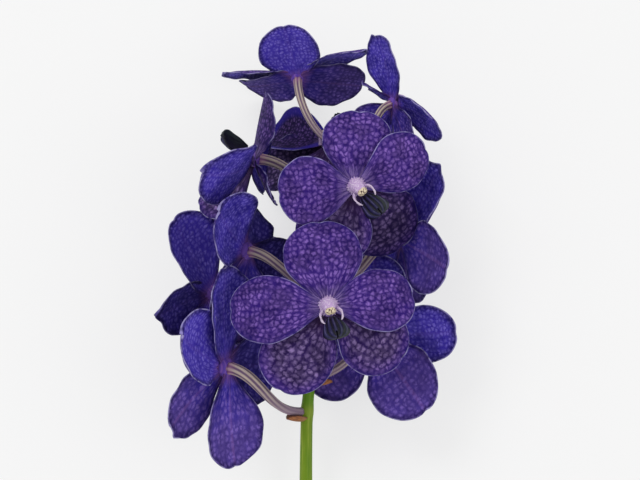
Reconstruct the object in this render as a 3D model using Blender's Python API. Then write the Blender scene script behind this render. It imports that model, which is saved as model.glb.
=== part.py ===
"""Cut vanda orchid: one green flower stalk with eleven violet blooms, lying on its back.

The spray is laid out in its own plant frame: X to the right, Y up the stalk and Z towards
the side where two blooms show their faces, with the origin on the stalk at the lowest bract.
The whole plant frame is then tipped about X, so that the cut end and the back petals touch
the surface. Petals that reach the surface lie flat along it.

Each bloom has a frame of its own inside the plant frame, with the origin in the middle of
the bloom, X to its right as seen from its front, Y to its top and Z forward.

Lengths are in metres, angles in degrees. +Z is up.
"""

import math
from dataclasses import dataclass, field, replace

import bmesh
import bpy
import numpy as np
from mathutils import Euler, Matrix, Vector

MM = 0.001

# The flower stalk
STALK_BELOW = 150 * MM  # from the lowest bract to the cut end
STALK_TOP = 137 * MM
STALK_FOOT_RADIUS = 3.6 * MM
STALK_TOP_RADIUS = 1.7 * MM
STALK_SIDES = 8
STALK_RINGS = 18
STALK_SWAY = 19 * MM  # how far the stalk has leaned to the right at its top
STALK_START = -1.1 * MM  # how far to the left it starts
SWAY_HEIGHT = 56 * MM  # where it leans most
SWAY_REACH = 16 * MM
ZIGZAG = 0.5 * MM  # from bract to bract
ZIGZAG_REACH = 11 * MM
STALK_BOW = 3 * MM  # how far its middle is bowed back

# The bracts, as distance past the stalk's surface, height and share of the width
BRACT_WIDTH = 8.4 * MM
BRACT_THICKNESS = 0.9 * MM
BRACT_DISH = 0.32  # how far its sides rise, as a share of its width
BRACT_ROWS = ((-2.0, -4.6, 0.6), (2.1, -4.4, 1.0), (5.2, -3.8, 0.9), (7.6, -3.1, 0.4))

# A bloom at full size
SEPAL_LENGTH = 42 * MM
SEPAL_WIDTH = 38 * MM
LATERAL_LENGTH = 46 * MM
PETAL_LENGTH = 46 * MM
PETAL_WIDTH = 34 * MM
BLADE_THICKNESS = 0.9 * MM
WIDEST_AT = 0.59  # share of a blade's length
CLAW_SHARE = 0.12  # width of the claw as a share of the blade's
TWIST_AT = 0.3  # share of the length where a twisted blade has made its turn
WAVE_TURNS = 1.3  # waves along a blade's margin
WAVE_SKEW = 1.4  # how far one margin's wave runs ahead of the middle
PETAL_LEVEL = 0.75 * MM  # the petals start this far in front of the bloom's middle plane
DORSAL_LEVEL = -0.6 * MM
LATERAL_LEVEL = -1.8 * MM  # the left lateral sepal starts behind the others
HUB_RADIUS = 4.4 * MM
HUB_END_RADIUS = 3.0 * MM
HUB_FRONT = 1.6 * MM
HUB_BACK = -2.7 * MM
HUB_SIDES = 8
NODE_GAP = 0.3 * MM  # between pieces that grow from each other

# Rows of a blade from its foot to just short of its tip, as shares of its length
BLADE_ROWS = (0.03, 0.2, 0.36, 0.55, 0.77, 0.93)
BLADE_STRIPS = 4

# The column: distance ahead and height as shares of its length, and width as a share
COLUMN_RADIUS = 2.6 * MM
COLUMN_LENGTH = 7.5 * MM
COLUMN_SIDES = 8
COLUMN_RINGS = (
    (0.0, 0.0, 0.85),
    (0.14, 0.05, 1.34),
    (0.34, 0.08, 1.28),
    (0.64, -0.01, 1.04),
    (0.84, -0.14, 0.90),
    (1.00, -0.24, 0.55),
)

# The column's side lobes: to the side, up and ahead in millimetres, and share of the width
LOBE_THICKNESS = 1.0 * MM
LOBE_WIDTH = 1.7 * MM
LOBE_ROWS = (
    (1.4, -0.8, 1.6, 0.8),
    (3.6, -1.8, 2.8, 1.0),
    (4.7, -3.5, 4.4, 1.0),
    (4.6, -5.2, 5.9, 0.75),
    (3.9, -6.4, 6.9, 0.3),
)

# The lip: up and ahead in millimetres, and share of the width
LIP_WIDTH = 12.0 * MM
LIP_THICKNESS = 1.6 * MM
LIP_CURL = 0.18  # how far its margins hang, as a share of its width
LIP_STEPS = 7
LIP_UNDER = (-0.6, 0.0, 0.6)
KEEL_HEIGHT = 0.9 * MM
LIP_ROWS = (
    (-5.0, 1.7, 0.5),
    (-6.8, 5.4, 0.8),
    (-8.6, 9.2, 0.95),
    (-10.8, 12.4, 1.0),
    (-13.0, 14.4, 0.7),
)

# The stalklets
RIB_COUNT = 6
RIB_DEPTH = 0.18  # share of the stalklet's radius
STALKLET_FOOT_RADIUS = 1.9 * MM
STALKLET_TOP_RADIUS = 2.6 * MM
STALKLET_RINGS = 7
STALKLET_CLEARANCE = 0.75 * MM  # its foot leaves the stalk by this much
STALKLET_PULL = 0.4  # how far it runs straight at each end, as a share of its span

# How the spray lies
TIP_ANGLE = 10.0
CENTRE_X = 0.7 * MM  # the middle of the lying spray in the tipped plant frame
CENTRE_Y = 19.7 * MM

SMOOTH_ANGLE = 45.0


@dataclass(frozen=True)
class Blade:
    """One sepal or petal: its size, and how it is turned and bent."""

    length: float
    width: float
    clock: float  # direction seen from the front, clockwise from the top
    lean: float  # towards the front
    level: float  # how far in front of the bloom's middle plane it starts
    claw: float = 1.15  # the higher, the narrower it stays near its foot
    twist: float = 0.0
    bend: float = 26.0  # along the length, tip backwards
    arch: float = 30.0  # across the width, margins backwards
    wave: float = 1.0 * MM
    phase: float = 0.0


BLADES = {
    "dorsal": Blade(SEPAL_LENGTH, SEPAL_WIDTH, 0, -2, DORSAL_LEVEL, bend=18, arch=28, phase=0.3),
    "petal_right": Blade(PETAL_LENGTH, PETAL_WIDTH, 88, 7, PETAL_LEVEL, arch=24, phase=1.1),
    "petal_left": Blade(PETAL_LENGTH, PETAL_WIDTH, -88, 7, PETAL_LEVEL, arch=24, phase=2.3),
    "lateral_right": Blade(
        LATERAL_LENGTH, SEPAL_WIDTH, 139, -7, DORSAL_LEVEL, claw=1.5, bend=20, arch=26, phase=0.8
    ),
    "lateral_left": Blade(
        LATERAL_LENGTH, SEPAL_WIDTH, -139, -7, LATERAL_LEVEL, claw=1.5, bend=20, arch=26, phase=3.0
    ),
}


@dataclass(frozen=True)
class Bloom:
    """Where one bloom sits in the plant frame, in millimetres, and where it faces."""

    name: str
    x: float
    y: float
    z: float
    facing: float  # about the stalk: 0 to the front, 90 to the right
    tilt: float  # upwards
    roll: float = 0.0
    size: float = 1.0
    foot: float = 0.0  # height of its bract on the stalk
    lip_clock: float = 180.0  # where the lip points, seen from the front
    nod: float = 0.0  # how far the column and lip are raised
    changes: dict = field(default_factory=dict)  # what its blades change from the usual ones

    @property
    def centre(self):
        return np.array([self.x, self.y, self.z]) * MM

    @property
    def turn(self):
        """Rotation from the bloom's frame to the plant frame."""
        angles = (math.radians(v) for v in (-self.tilt, self.facing, -self.roll))
        return Euler(angles, "ZXY")

    @property
    def matrix(self):
        return np.array(Matrix.Translation(self.centre) @ self.turn.to_matrix().to_4x4())


BLOOMS = (
    Bloom(
        "bloom_01", -38.9, 23.6, 19, facing=-125, tilt=5, size=1.1, foot=0,
        changes={
            "dorsal": {
                "clock": 11, "lean": 5, "claw": 1.4, "length": 44.5 * MM, "width": 36.5 * MM,
                "twist": -13, "bend": 14,
            },
            "petal_right": {
                "clock": 69, "lean": 5, "claw": 0.9, "length": 44.5 * MM, "width": 34.5 * MM,
                "twist": -11, "bend": 33, "arch": 52,
            },
            "petal_left": {"clock": -92, "lean": 4, "length": 33 * MM},
            "lateral_right": {
                "clock": 126, "lean": 20, "claw": 1.6, "length": 38 * MM, "width": 31 * MM,
                "twist": 8, "bend": 30, "arch": 17,
            },
            "lateral_left": {
                "clock": -177, "lean": -2, "claw": 1.6, "length": 43 * MM, "bend": 10, "arch": 21,
            },
        },
    ),
    Bloom(
        "bloom_02", 32.3, 35.6, -10, facing=160, tilt=0, size=0.98, foot=17,
        changes={
            "dorsal": {"lean": 9, "bend": 10},
            "petal_left": {"clock": -85, "length": 45 * MM, "width": 30.5 * MM, "arch": 34},
            "lateral_right": {
                "clock": 127, "lean": -3, "claw": 1.6, "length": 41.5 * MM, "width": 37 * MM,
                "bend": 25, "arch": 29,
            },
            "lateral_left": {
                "clock": -138, "lean": -9, "length": 48 * MM, "width": 40 * MM, "twist": 2,
                "bend": 10, "arch": 38,
            },
        },
    ),
    Bloom(
        "bloom_03", 9.6, 53.6, 46.5, facing=3, tilt=3, size=1.02, foot=26, lip_clock=166,
        changes={
            "dorsal": {
                "clock": -5, "lean": -1, "claw": 1.3, "length": 39.5 * MM, "width": 37.5 * MM,
                "bend": 21, "arch": 32,
            },
            "petal_right": {
                "clock": 79, "lean": 5, "claw": 1.3, "length": 41 * MM, "width": 30.5 * MM,
                "twist": 13, "bend": 36, "arch": 30,
            },
            "petal_left": {
                "clock": -91, "lean": 5, "claw": 1.4, "length": 45.5 * MM, "width": 31.5 * MM,
                "twist": -5, "bend": 35, "arch": 28,
            },
            "lateral_right": {
                "clock": 123, "claw": 1.6, "length": 44 * MM, "width": 35.5 * MM, "twist": 6,
                "arch": 38,
            },
            "lateral_left": {
                "clock": -152, "lean": -9, "claw": 1.4, "length": 45.5 * MM, "width": 37 * MM,
                "twist": 9, "bend": 15, "arch": 37,
            },
        },
    ),
    Bloom(
        "bloom_04", -48, 57, -18, facing=-140, tilt=5, roll=20, size=1.08, foot=36,
        changes={
            "dorsal": {
                "clock": 19, "lean": -3, "length": 44.5 * MM, "width": 36 * MM, "twist": -14,
                "bend": 7, "arch": 54,
            },
            "petal_right": {
                "clock": 80, "lean": 0, "length": 34.5 * MM, "width": 28 * MM, "twist": 18,
                "bend": 28, "arch": 41,
            },
            "lateral_right": {"clock": 146, "length": 42 * MM},
        },
    ),
    Bloom(
        "bloom_05", -29.4, 78.3, 10, facing=-125, tilt=5, roll=-20, foot=60, lip_clock=240,
        changes={
            "dorsal": {
                "clock": -11, "lean": 23, "length": 28.5 * MM, "width": 32.5 * MM, "twist": -3,
                "bend": 6, "arch": 38,
            },
            "petal_right": {
                "clock": 82, "lean": -7, "claw": 1, "width": 39 * MM, "twist": 6, "bend": 21,
                "arch": 51,
            },
            "petal_left": {"clock": -92},
            "lateral_right": {"clock": 190, "lean": 19, "length": 44 * MM},
            "lateral_left": {"clock": -155, "lean": 15, "twist": -15},
        },
    ),
    Bloom(
        "bloom_06", 45, 84.6, -14, facing=125, tilt=5, roll=33, size=1.05, foot=62,
        changes={
            "dorsal": {"length": 35 * MM},
            "petal_left": {
                "clock": -77, "lean": 14, "claw": 1.3, "length": 45.5 * MM, "width": 35.5 * MM,
                "twist": -3, "bend": 30, "arch": 68,
            },
            "lateral_right": {"lean": 25, "length": 33 * MM, "width": 34 * MM},
            "lateral_left": {
                "clock": -141, "lean": 4, "claw": 1.6, "length": 45.5 * MM, "width": 35.5 * MM,
                "twist": 3, "bend": 22, "arch": 38,
            },
        },
    ),
    Bloom(
        "bloom_07", 22.4, 108.2, 34, facing=10, tilt=-8, foot=80, lip_clock=140,
        changes={
            "dorsal": {
                "clock": 3, "length": 35.5 * MM, "width": 34.5 * MM, "twist": 5, "bend": 20,
                "arch": 32,
            },
            "petal_right": {
                "clock": 64, "lean": 6, "claw": 1.5, "length": 39.5 * MM, "width": 29 * MM,
                "twist": -5, "bend": 31, "arch": 31,
            },
            "petal_left": {
                "clock": -96, "lean": 8, "claw": 1.4, "length": 36.5 * MM, "width": 32.5 * MM,
                "bend": 19, "arch": 18,
            },
            "lateral_right": {
                "clock": 138, "lean": -15, "level": -1.2 * MM, "claw": 1.6, "length": 46.5 * MM,
                "width": 38.5 * MM, "twist": -2, "arch": 32,
            },
            "lateral_left": {"clock": -160, "lean": -6, "level": -0.6 * MM, "length": 40 * MM},
        },
    ),
    Bloom(
        "bloom_08", 9.8, 132.7, -25, facing=-50, tilt=45, size=0.9, foot=98, lip_clock=85, nod=-20,
        changes={
            "dorsal": {"length": 36 * MM},
            "petal_right": {"clock": 60, "lean": -10, "length": 38 * MM, "twist": -30},
            "petal_left": {
                "lean": 9, "length": 49 * MM, "width": 37 * MM, "twist": 7, "bend": 0, "arch": -63,
            },
            "lateral_right": {"clock": 165, "lean": 0, "twist": 30},
            "lateral_left": {
                "clock": -121, "lean": -3, "length": 47.5 * MM, "width": 40 * MM, "twist": 17,
                "bend": -8, "arch": -22,
            },
        },
    ),
    Bloom(
        "bloom_09", -26.1, 122.4, 12, facing=-78, tilt=3, foot=104, lip_clock=50,
        changes={
            "dorsal": {
                "clock": 15, "lean": -1, "claw": 0.7, "length": 32.5 * MM, "width": 40.5 * MM,
                "twist": 2, "bend": 9,
            },
            "petal_right": {
                "clock": 115, "lean": 17, "level": 0.3 * MM, "claw": 1.6, "length": 50 * MM,
                "width": 34.5 * MM, "twist": 22, "bend": -40, "arch": 15,
            },
            "petal_left": {"lean": -8, "length": 40 * MM},
            "lateral_right": {
                "clock": 140, "lean": -5, "length": 30 * MM, "width": 20 * MM, "twist": -25,
            },
            "lateral_left": {"clock": -143, "lean": 30, "length": 38.5 * MM, "bend": -20},
        },
    ),
    Bloom(
        "bloom_10", 41.8, 149.7, 0, facing=119, tilt=14, size=0.82, foot=120, nod=18,
        changes={
            "dorsal": {
                "clock": -5, "lean": 4, "length": 41.5 * MM, "width": 38.5 * MM, "twist": 5,
                "bend": 15, "arch": 20,
            },
            "petal_right": {
                "clock": 53, "lean": -1, "claw": 2, "length": 25 * MM, "width": 29.5 * MM,
                "twist": 49, "bend": 17, "arch": 13,
            },
            "petal_left": {
                "clock": -107, "lean": 8, "claw": 0.9, "length": 46.5 * MM, "width": 31.5 * MM,
                "twist": -26, "bend": 22, "arch": 33,
            },
            "lateral_right": {"clock": 130, "length": 36 * MM},
            "lateral_left": {"clock": -153, "lean": 0, "length": 40 * MM},
        },
    ),
    Bloom(
        "bloom_11", -5.5, 166.5, -32, facing=180, tilt=42, size=0.82, foot=130,
        changes={
            "dorsal": {
                "clock": 11, "lean": -3, "claw": 0.9, "width": 40.5 * MM, "twist": 2, "bend": 5,
                "arch": 40,
            },
            "petal_right": {
                "clock": 76, "lean": 5, "claw": 2, "width": 33 * MM, "twist": 47, "arch": 20,
            },
            "petal_left": {
                "clock": -49, "claw": 1.6, "length": 50 * MM, "width": 29 * MM, "twist": -42,
                "bend": 39, "arch": 19,
            },
            "lateral_right": {
                "clock": 116, "lean": 12, "claw": 0.7, "length": 38.5 * MM, "width": 42 * MM,
                "twist": 28, "bend": -13,
            },
            "lateral_left": {
                "clock": -105, "lean": 12, "claw": 0.7, "length": 43.5 * MM, "width": 42 * MM,
                "twist": -14, "bend": 0, "arch": 12,
            },
        },
    ),
)


def unit(vector):
    return vector / np.linalg.norm(vector)


def moved(matrix, points):
    """Points as rows, moved by a 4 by 4 matrix."""
    return np.asarray(points) @ matrix[:3, :3].T + matrix[:3, 3]


def stalk_point(y):
    """Centre of the stalk at height y in the plant frame."""
    share = (y + STALK_BELOW) / (STALK_TOP + STALK_BELOW)
    rise = 1 / (1 + math.exp(-(y - SWAY_HEIGHT) / SWAY_REACH))
    zigzag = ZIGZAG * math.sin(y / ZIGZAG_REACH) if y > 0 else 0
    back = -STALK_BOW * math.sin(math.pi * share)
    return np.array([STALK_SWAY * rise + STALK_START * (1 - rise) + zigzag, y, back])


def stalk_radius(y):
    share = (y + STALK_BELOW) / (STALK_TOP + STALK_BELOW)
    return STALK_FOOT_RADIUS + (STALK_TOP_RADIUS - STALK_FOOT_RADIUS) * share**1.5


def lying_matrix():
    """From the plant frame to the world: tipped about X, with the cut end on the surface."""
    turn = Matrix.Rotation(math.radians(TIP_ANGLE), 4, "X")
    foot = stalk_point(-STALK_BELOW)
    lowest = turn @ Vector((foot[0], foot[1], foot[2] - STALK_FOOT_RADIUS))
    return np.array(Matrix.Translation((-CENTRE_X, -CENTRE_Y, -lowest.z)) @ turn)


def laid_down(points, bloom):
    """A blade's points in its bloom's frame, raised to the surface where they would go below."""
    to_world = lying_matrix() @ bloom.matrix
    world = moved(to_world, points)
    world[:, 2] = np.maximum(world[:, 2], BLADE_THICKNESS / 2)
    return moved(np.linalg.inv(to_world), world)


def blade_half_width(share, claw):
    """Half the width of a blade of width 2, at a share of its length."""
    if share < WIDEST_AT:
        rise = math.sin(math.pi / 2 * share / WIDEST_AT) ** claw
        return CLAW_SHARE + (1 - CLAW_SHARE) * rise
    return math.sqrt(max(0.0, 1 - ((share - WIDEST_AT) / (1 - WIDEST_AT)) ** 2))


def turned(first, second, angle):
    """Two coordinates after a turn from the first towards the second."""
    sine, cosine = math.sin(math.radians(angle)), math.cos(math.radians(angle))
    return first * cosine - second * sine, first * sine + second * cosine


def bent(length, angle, share):
    """How far along and forward a share of a strip reaches that is bent back evenly."""
    if not angle:
        return length * share, 0.0
    turn = math.radians(angle)
    radius = length / turn
    return radius * math.sin(turn * share), radius * (math.cos(turn * share) - 1)


def blade_point(blade, share, across):
    """Point of a blade's middle surface in its bloom's frame.

    share runs from 0 at the bloom's centre to 1 at the tip, across from -1 to 1.
    """
    half = blade_half_width(share, blade.claw)
    along, depth = bent(blade.length, blade.bend, share)
    side, drop = bent(blade.width / 2 * half, blade.arch * half, across)
    ripple = math.sin(2 * math.pi * share * WAVE_TURNS + blade.phase + WAVE_SKEW * across)
    depth += drop + blade.wave * ripple * across**2 * share
    side, depth = turned(side, depth, blade.twist * min(1.0, share / TWIST_AT))
    along, depth = turned(along, depth, blade.lean)
    up, right = turned(along, side, blade.clock)
    return np.array([right, up, depth + blade.level])


def blade_points(blade, bloom):
    """Middle surface of a blade, row by row from its foot, and then its tip."""
    across = np.linspace(-1, 1, BLADE_STRIPS + 1)
    points = [blade_point(blade, share, side) for share in BLADE_ROWS for side in across]
    points.append(blade_point(blade, 1.0, 0.0))
    return laid_down(np.array(points) * bloom.size, bloom)


def blade_triangles():
    """Triangles of one face of a blade, whose last vertex is the tip."""
    width = BLADE_STRIPS + 1
    triangles = []
    for row in range(len(BLADE_ROWS) - 1):
        for strip in range(BLADE_STRIPS):
            a = row * width + strip
            b = a + width
            if strip < BLADE_STRIPS / 2:
                triangles += [(a, b, b + 1), (a, b + 1, a + 1)]
            else:
                triangles += [(a, b, a + 1), (b, b + 1, a + 1)]
    tip = len(BLADE_ROWS) * width
    last = tip - width
    triangles += [(last + strip, tip, last + strip + 1) for strip in range(BLADE_STRIPS)]
    return triangles


def blade_rim():
    """The blade's outline as a loop of vertex numbers."""
    width = BLADE_STRIPS + 1
    tip = len(BLADE_ROWS) * width
    left = list(range(0, tip, width))
    right = list(range(BLADE_STRIPS, tip, width))
    foot = list(range(BLADE_STRIPS - 1, 0, -1))
    return left + [tip] + right[::-1] + foot


def blade_mesh(blade, bloom):
    """A blade of even thickness as vertices and triangles, split alike on both faces."""
    middle = blade_points(blade, bloom)
    triangles = blade_triangles()
    normals = np.zeros_like(middle)
    for a, b, c in triangles:
        face = np.cross(middle[b] - middle[a], middle[c] - middle[a])
        for vertex in (a, b, c):
            normals[vertex] += face
    half = normals / np.linalg.norm(normals, axis=1, keepdims=True) * BLADE_THICKNESS / 2
    count = len(middle)
    points = np.vstack([middle + half, middle - half])
    faces = list(triangles) + [(c + count, b + count, a + count) for a, b, c in triangles]
    rim = blade_rim()
    for a, b in zip(rim, rim[1:] + rim[:1]):
        faces += [(b, a, a + count), (b, a + count, b + count)]
    return points, faces


def closed_tube(rings):
    """A closed tube through rings of points that each have as many points."""
    sides = len(rings[0])
    faces = []
    for ring in range(len(rings) - 1):
        for side in range(sides):
            a = ring * sides + side
            b = ring * sides + (side + 1) % sides
            faces += [(a, b, b + sides), (a, b + sides, a + sides)]
    faces.append(tuple(range(sides - 1, -1, -1)))
    faces.append(tuple(range((len(rings) - 1) * sides, len(rings) * sides)))
    return np.array([point for ring in rings for point in ring]), faces


def ring_of(centre, first, second, radii):
    """Points round a centre, the first one along the first direction."""
    turns = [2 * math.pi * n / len(radii) for n in range(len(radii))]
    return [
        centre + radius * (math.cos(turn) * first + math.sin(turn) * second)
        for radius, turn in zip(radii, turns)
    ]


def stalk_mesh():
    """The stalk in the plant frame, from its cut end to its rounded tip."""
    across = np.array([0.0, 0.0, -1.0])
    sideways = np.array([-1.0, 0.0, 0.0])
    below = STALK_RINGS // 3
    heights = list(np.linspace(-STALK_BELOW, 0, below, endpoint=False))
    heights += list(np.linspace(0, STALK_TOP, STALK_RINGS - below))
    loops = [
        ring_of(stalk_point(y), across, sideways, [stalk_radius(y)] * STALK_SIDES)
        for y in heights
    ]
    end = stalk_point(STALK_TOP + 1.5 * STALK_TOP_RADIUS)
    loops.append(ring_of(end, across, sideways, [0.45 * STALK_TOP_RADIUS] * STALK_SIDES))
    return closed_tube(loops)


def away_from_stalk(bloom):
    """The level direction from the stalk to a bloom, in the plant frame."""
    away = bloom.centre - stalk_point(bloom.foot * MM)
    return unit(np.array([away[0], 0, away[2]]))


def bract_mesh(bloom):
    """A small scoop under the foot of a stalklet, rooted in the stalk."""
    out = away_from_stalk(bloom)
    side = np.cross([0.0, 1.0, 0.0], out)
    up = np.array([0.0, 1.0, 0.0])
    surface = stalk_point(bloom.foot * MM) + out * stalk_radius(bloom.foot * MM)
    thick = up * BRACT_THICKNESS / 2
    loops = []
    for past, height, width in BRACT_ROWS:
        middle = surface + out * past * MM + up * height * MM
        edge = side * BRACT_WIDTH / 2 * width
        rise = up * BRACT_DISH * BRACT_WIDTH * width
        loops.append(
            [
                middle - edge + rise + thick,
                middle + thick,
                middle + edge + rise + thick,
                middle + edge + rise - thick,
                middle - thick,
                middle - edge + rise - thick,
            ]
        )
    return closed_tube(loops)


def stalklet_curve(bloom):
    """Centres and directions from the stalk's surface to just behind the bloom's hub."""
    forward = bloom.matrix[:3, 2]
    out = away_from_stalk(bloom)
    gap = stalk_radius(bloom.foot * MM) + STALKLET_CLEARANCE
    start = stalk_point(bloom.foot * MM) + out * gap
    end = bloom.centre + forward * (HUB_BACK * bloom.size - NODE_GAP)
    pull = np.linalg.norm(end - start) * STALKLET_PULL
    pulls = [start, start + out * pull, end - forward * pull, end]
    centres, directions = [], []
    for t in np.linspace(0, 1, STALKLET_RINGS):
        rest = 1 - t
        weights = (rest**3, 3 * t * rest**2, 3 * t * t * rest, t**3)
        centres.append(sum(w * point for w, point in zip(weights, pulls)))
        slopes = (rest * rest, 2 * t * rest, t * t)
        steps = [b - a for a, b in zip(pulls, pulls[1:])]
        directions.append(unit(sum(w * step for w, step in zip(slopes, steps))))
    return centres, directions


def stalklet_mesh(bloom):
    """A ribbed stalklet, thicker towards its bloom, in the bloom's frame."""
    first = np.array([0.0, 1.0, 0.0])
    loops = []
    for n, (centre, ahead) in enumerate(zip(*stalklet_curve(bloom))):
        first = unit(first - ahead * (first @ ahead))
        share = n / (STALKLET_RINGS - 1)
        radius = STALKLET_FOOT_RADIUS + (STALKLET_TOP_RADIUS - STALKLET_FOOT_RADIUS) * share
        depth = RIB_DEPTH * min(1.0, share * 3)
        radii = [radius * bloom.size * (1 - depth * (s % 2)) for s in range(2 * RIB_COUNT)]
        loops.append(ring_of(centre, first, np.cross(ahead, first), radii))
    points, faces = closed_tube(loops)
    return moved(np.linalg.inv(bloom.matrix), points), faces


def heart_points(bloom, points):
    """Points of a column or lip that start at the hub, raised by the nod and turned with the lip."""
    right, up, ahead = np.array(points).T
    raised = up + ahead * math.tan(math.radians(bloom.nod))
    upward, across = turned(raised, right, bloom.lip_clock - 180)
    return np.array([across, upward, ahead + HUB_FRONT + NODE_GAP]).T * bloom.size


def hub_mesh(bloom):
    """The small body that a bloom's sepals and petals grow from."""
    right, up = np.array([1.0, 0, 0]), np.array([0, 1.0, 0])
    middle = (HUB_FRONT + HUB_BACK) / 2
    rings = ((HUB_BACK, HUB_END_RADIUS), (middle, HUB_RADIUS), (HUB_FRONT, HUB_END_RADIUS))
    loops = [
        ring_of(np.array([0, 0, forward]), right, up, [radius] * HUB_SIDES)
        for forward, radius in rings
    ]
    points, faces = closed_tube(loops)
    return points * bloom.size, faces


def column_mesh(bloom):
    """The pale column with its anther cap."""
    right, up = np.array([1.0, 0, 0]), np.array([0, 1.0, 0])
    loops = []
    for ahead, rise, width in COLUMN_RINGS:
        centre = np.array([0.0, rise, ahead]) * COLUMN_LENGTH
        loops.append(ring_of(centre, right, up, [width * COLUMN_RADIUS] * COLUMN_SIDES))
    points, faces = closed_tube(loops)
    return heart_points(bloom, points), faces


def side_lobe_mesh(bloom, side):
    """One of the two pale lobes that curl forward beside the column; side is 1 or -1."""
    centres = [np.array([side * x, up, ahead]) * MM for x, up, ahead, _ in LOBE_ROWS]
    first = np.array([0.0, 1.0, 0.0])
    loops = []
    for n, (*_, width) in enumerate(LOBE_ROWS):
        run = unit(centres[min(n + 1, len(centres) - 1)] - centres[max(n - 1, 0)])
        first = unit(first - run * (first @ run))
        wide = first * width * LOBE_WIDTH / 2
        thick = np.cross(run, first) * LOBE_THICKNESS / 2
        middle = centres[n]
        loops.append([middle + wide, middle + thick, middle - wide, middle - thick])
    points, faces = closed_tube(loops)
    return heart_points(bloom, points), faces


def lip_mesh(bloom):
    """The dark lip below the column, with keels along its upper side."""
    centres = [np.array([0.0, up, ahead]) * MM for up, ahead, _ in LIP_ROWS]
    loops = []
    for n, (*_, share) in enumerate(LIP_ROWS):
        run = unit(centres[min(n + 1, len(centres) - 1)] - centres[max(n - 1, 0)])
        top = np.cross(run, [1.0, 0.0, 0.0])
        wide = np.array([share * LIP_WIDTH / 2, 0, 0])
        loop = []
        for step in range(LIP_STEPS):
            across = 1 - 2 * step / (LIP_STEPS - 1)
            height = KEEL_HEIGHT * (step % 2) + LIP_THICKNESS / 2 * (1 - 0.5 * across**2)
            loop.append(centres[n] + wide * across + top * height)
        for across in LIP_UNDER:
            loop.append(centres[n] + wide * across - top * LIP_THICKNESS / 2)
        hang = LIP_CURL * LIP_WIDTH * share
        loops.append([p - top * hang * (p[0] / wide[0]) ** 2 for p in loop])
    points, faces = closed_tube(loops)
    return heart_points(bloom, points), faces


def to_object(name, body, material):
    """A mesh object whose faces are made to point out."""
    points, faces = body
    mesh = bpy.data.meshes.new(name)
    mesh.from_pydata([tuple(point) for point in points], [], faces)
    work = bmesh.new()
    work.from_mesh(mesh)
    bmesh.ops.recalc_face_normals(work, faces=work.faces)
    work.to_mesh(mesh)
    work.free()
    mesh.materials.append(material)
    made = bpy.data.objects.new(name, mesh)
    bpy.context.scene.collection.objects.link(made)
    return made


def join_by_union(body, parts):
    """Joins parts to a body with one Boolean union on a collection, which is then removed."""
    group = bpy.data.collections.new("parts")
    bpy.context.scene.collection.children.link(group)
    for part in parts:
        bpy.context.scene.collection.objects.unlink(part)
        group.objects.link(part)
    union = body.modifiers.new("union", "BOOLEAN")
    union.operation = "UNION"
    union.operand_type = "COLLECTION"
    union.collection = group
    union.solver = "EXACT"
    graph = bpy.context.evaluated_depsgraph_get()
    graph.update()
    joined = bpy.data.meshes.new_from_object(body.evaluated_get(graph))
    body.modifiers.clear()
    body.data = joined
    for part in parts:
        bpy.data.objects.remove(part)
    bpy.data.collections.remove(group)


def build_node(name, bodies, material, parent):
    """One node: its bodies joined into one, shaded smooth and hung from its parent."""
    first, *rest = [to_object(f"{name}_{n}", body, material) for n, body in enumerate(bodies)]
    if rest:
        join_by_union(first, rest)
    first.name = name
    first.data.name = name
    first.data.shade_smooth()
    first.data.set_sharp_from_angle(angle=math.radians(SMOOTH_ANGLE))
    first.parent = parent


def place_empty(name, location, turn, parent=None):
    empty = bpy.data.objects.new(name, None)
    bpy.context.scene.collection.objects.link(empty)
    empty.parent = parent
    empty.location = location
    empty.rotation_mode = turn.order
    empty.rotation_euler = turn
    return empty


def paint(name, colour, roughness):
    material = bpy.data.materials.new(name)
    material.use_nodes = True
    shader = material.node_tree.nodes["Principled BSDF"]
    shader.inputs["Base Color"].default_value = (*colour, 1)
    shader.inputs["Roughness"].default_value = roughness
    shader.inputs["Metallic"].default_value = 0
    return material


def tepal_bodies(bloom):
    """The hub of a bloom and its five blades."""
    bodies = [hub_mesh(bloom)]
    for name, usual in BLADES.items():
        bodies.append(blade_mesh(replace(usual, **bloom.changes.get(name, {})), bloom))
    return bodies


def bloom_bodies(bloom):
    """The bodies of each node of a bloom, in the bloom's frame."""
    return {
        "tepals": tepal_bodies(bloom),
        "column": [column_mesh(bloom), side_lobe_mesh(bloom, 1), side_lobe_mesh(bloom, -1)],
        "lip": [lip_mesh(bloom)],
        "stalklet": [stalklet_mesh(bloom)],
    }


def main():
    for old in list(bpy.data.objects):
        bpy.data.objects.remove(old)
    lying = Matrix(lying_matrix())
    spray = place_empty("spray", lying.translation, lying.to_euler())
    green = paint("stalk green", (0.18, 0.29, 0.03), 0.5)
    bracts = [bract_mesh(bloom) for bloom in BLOOMS]
    build_node("flower_stalk", [stalk_mesh()] + bracts, green, spray)
    materials = {
        "tepals": paint("blue violet petal", (0.075, 0.035, 0.31), 0.55),
        "column": paint("pale lilac column", (0.70, 0.58, 0.70), 0.45),
        "lip": paint("near black lip", (0.010, 0.013, 0.032), 0.4),
        "stalklet": paint("striped stalklet", (0.42, 0.32, 0.40), 0.5),
    }
    for bloom in BLOOMS:
        place = place_empty(bloom.name + "_place", bloom.centre, bloom.turn, spray)
        for node, bodies in bloom_bodies(bloom).items():
            build_node(f"{bloom.name}_{node}", bodies, materials[node], place)


if __name__ == "__main__":
    main()
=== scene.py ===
"""Fine form and finishes of the cut vanda orchid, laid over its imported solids.

The spray is laid out in the plant frame of its solids: X to the right, Y up the stalk and Z
towards the side where two blooms show their faces, with the origin on the stalk at the lowest
bract. The lying spray is that frame tipped about X. Each bloom has a frame of its own, with the
origin in the middle of the bloom, X to its right as seen from its front, Y up and Z forward.

Lengths are in metres, angles in degrees.
"""

import logging
import math
from dataclasses import dataclass, field, replace
from enum import Enum
from typing import Any

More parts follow.
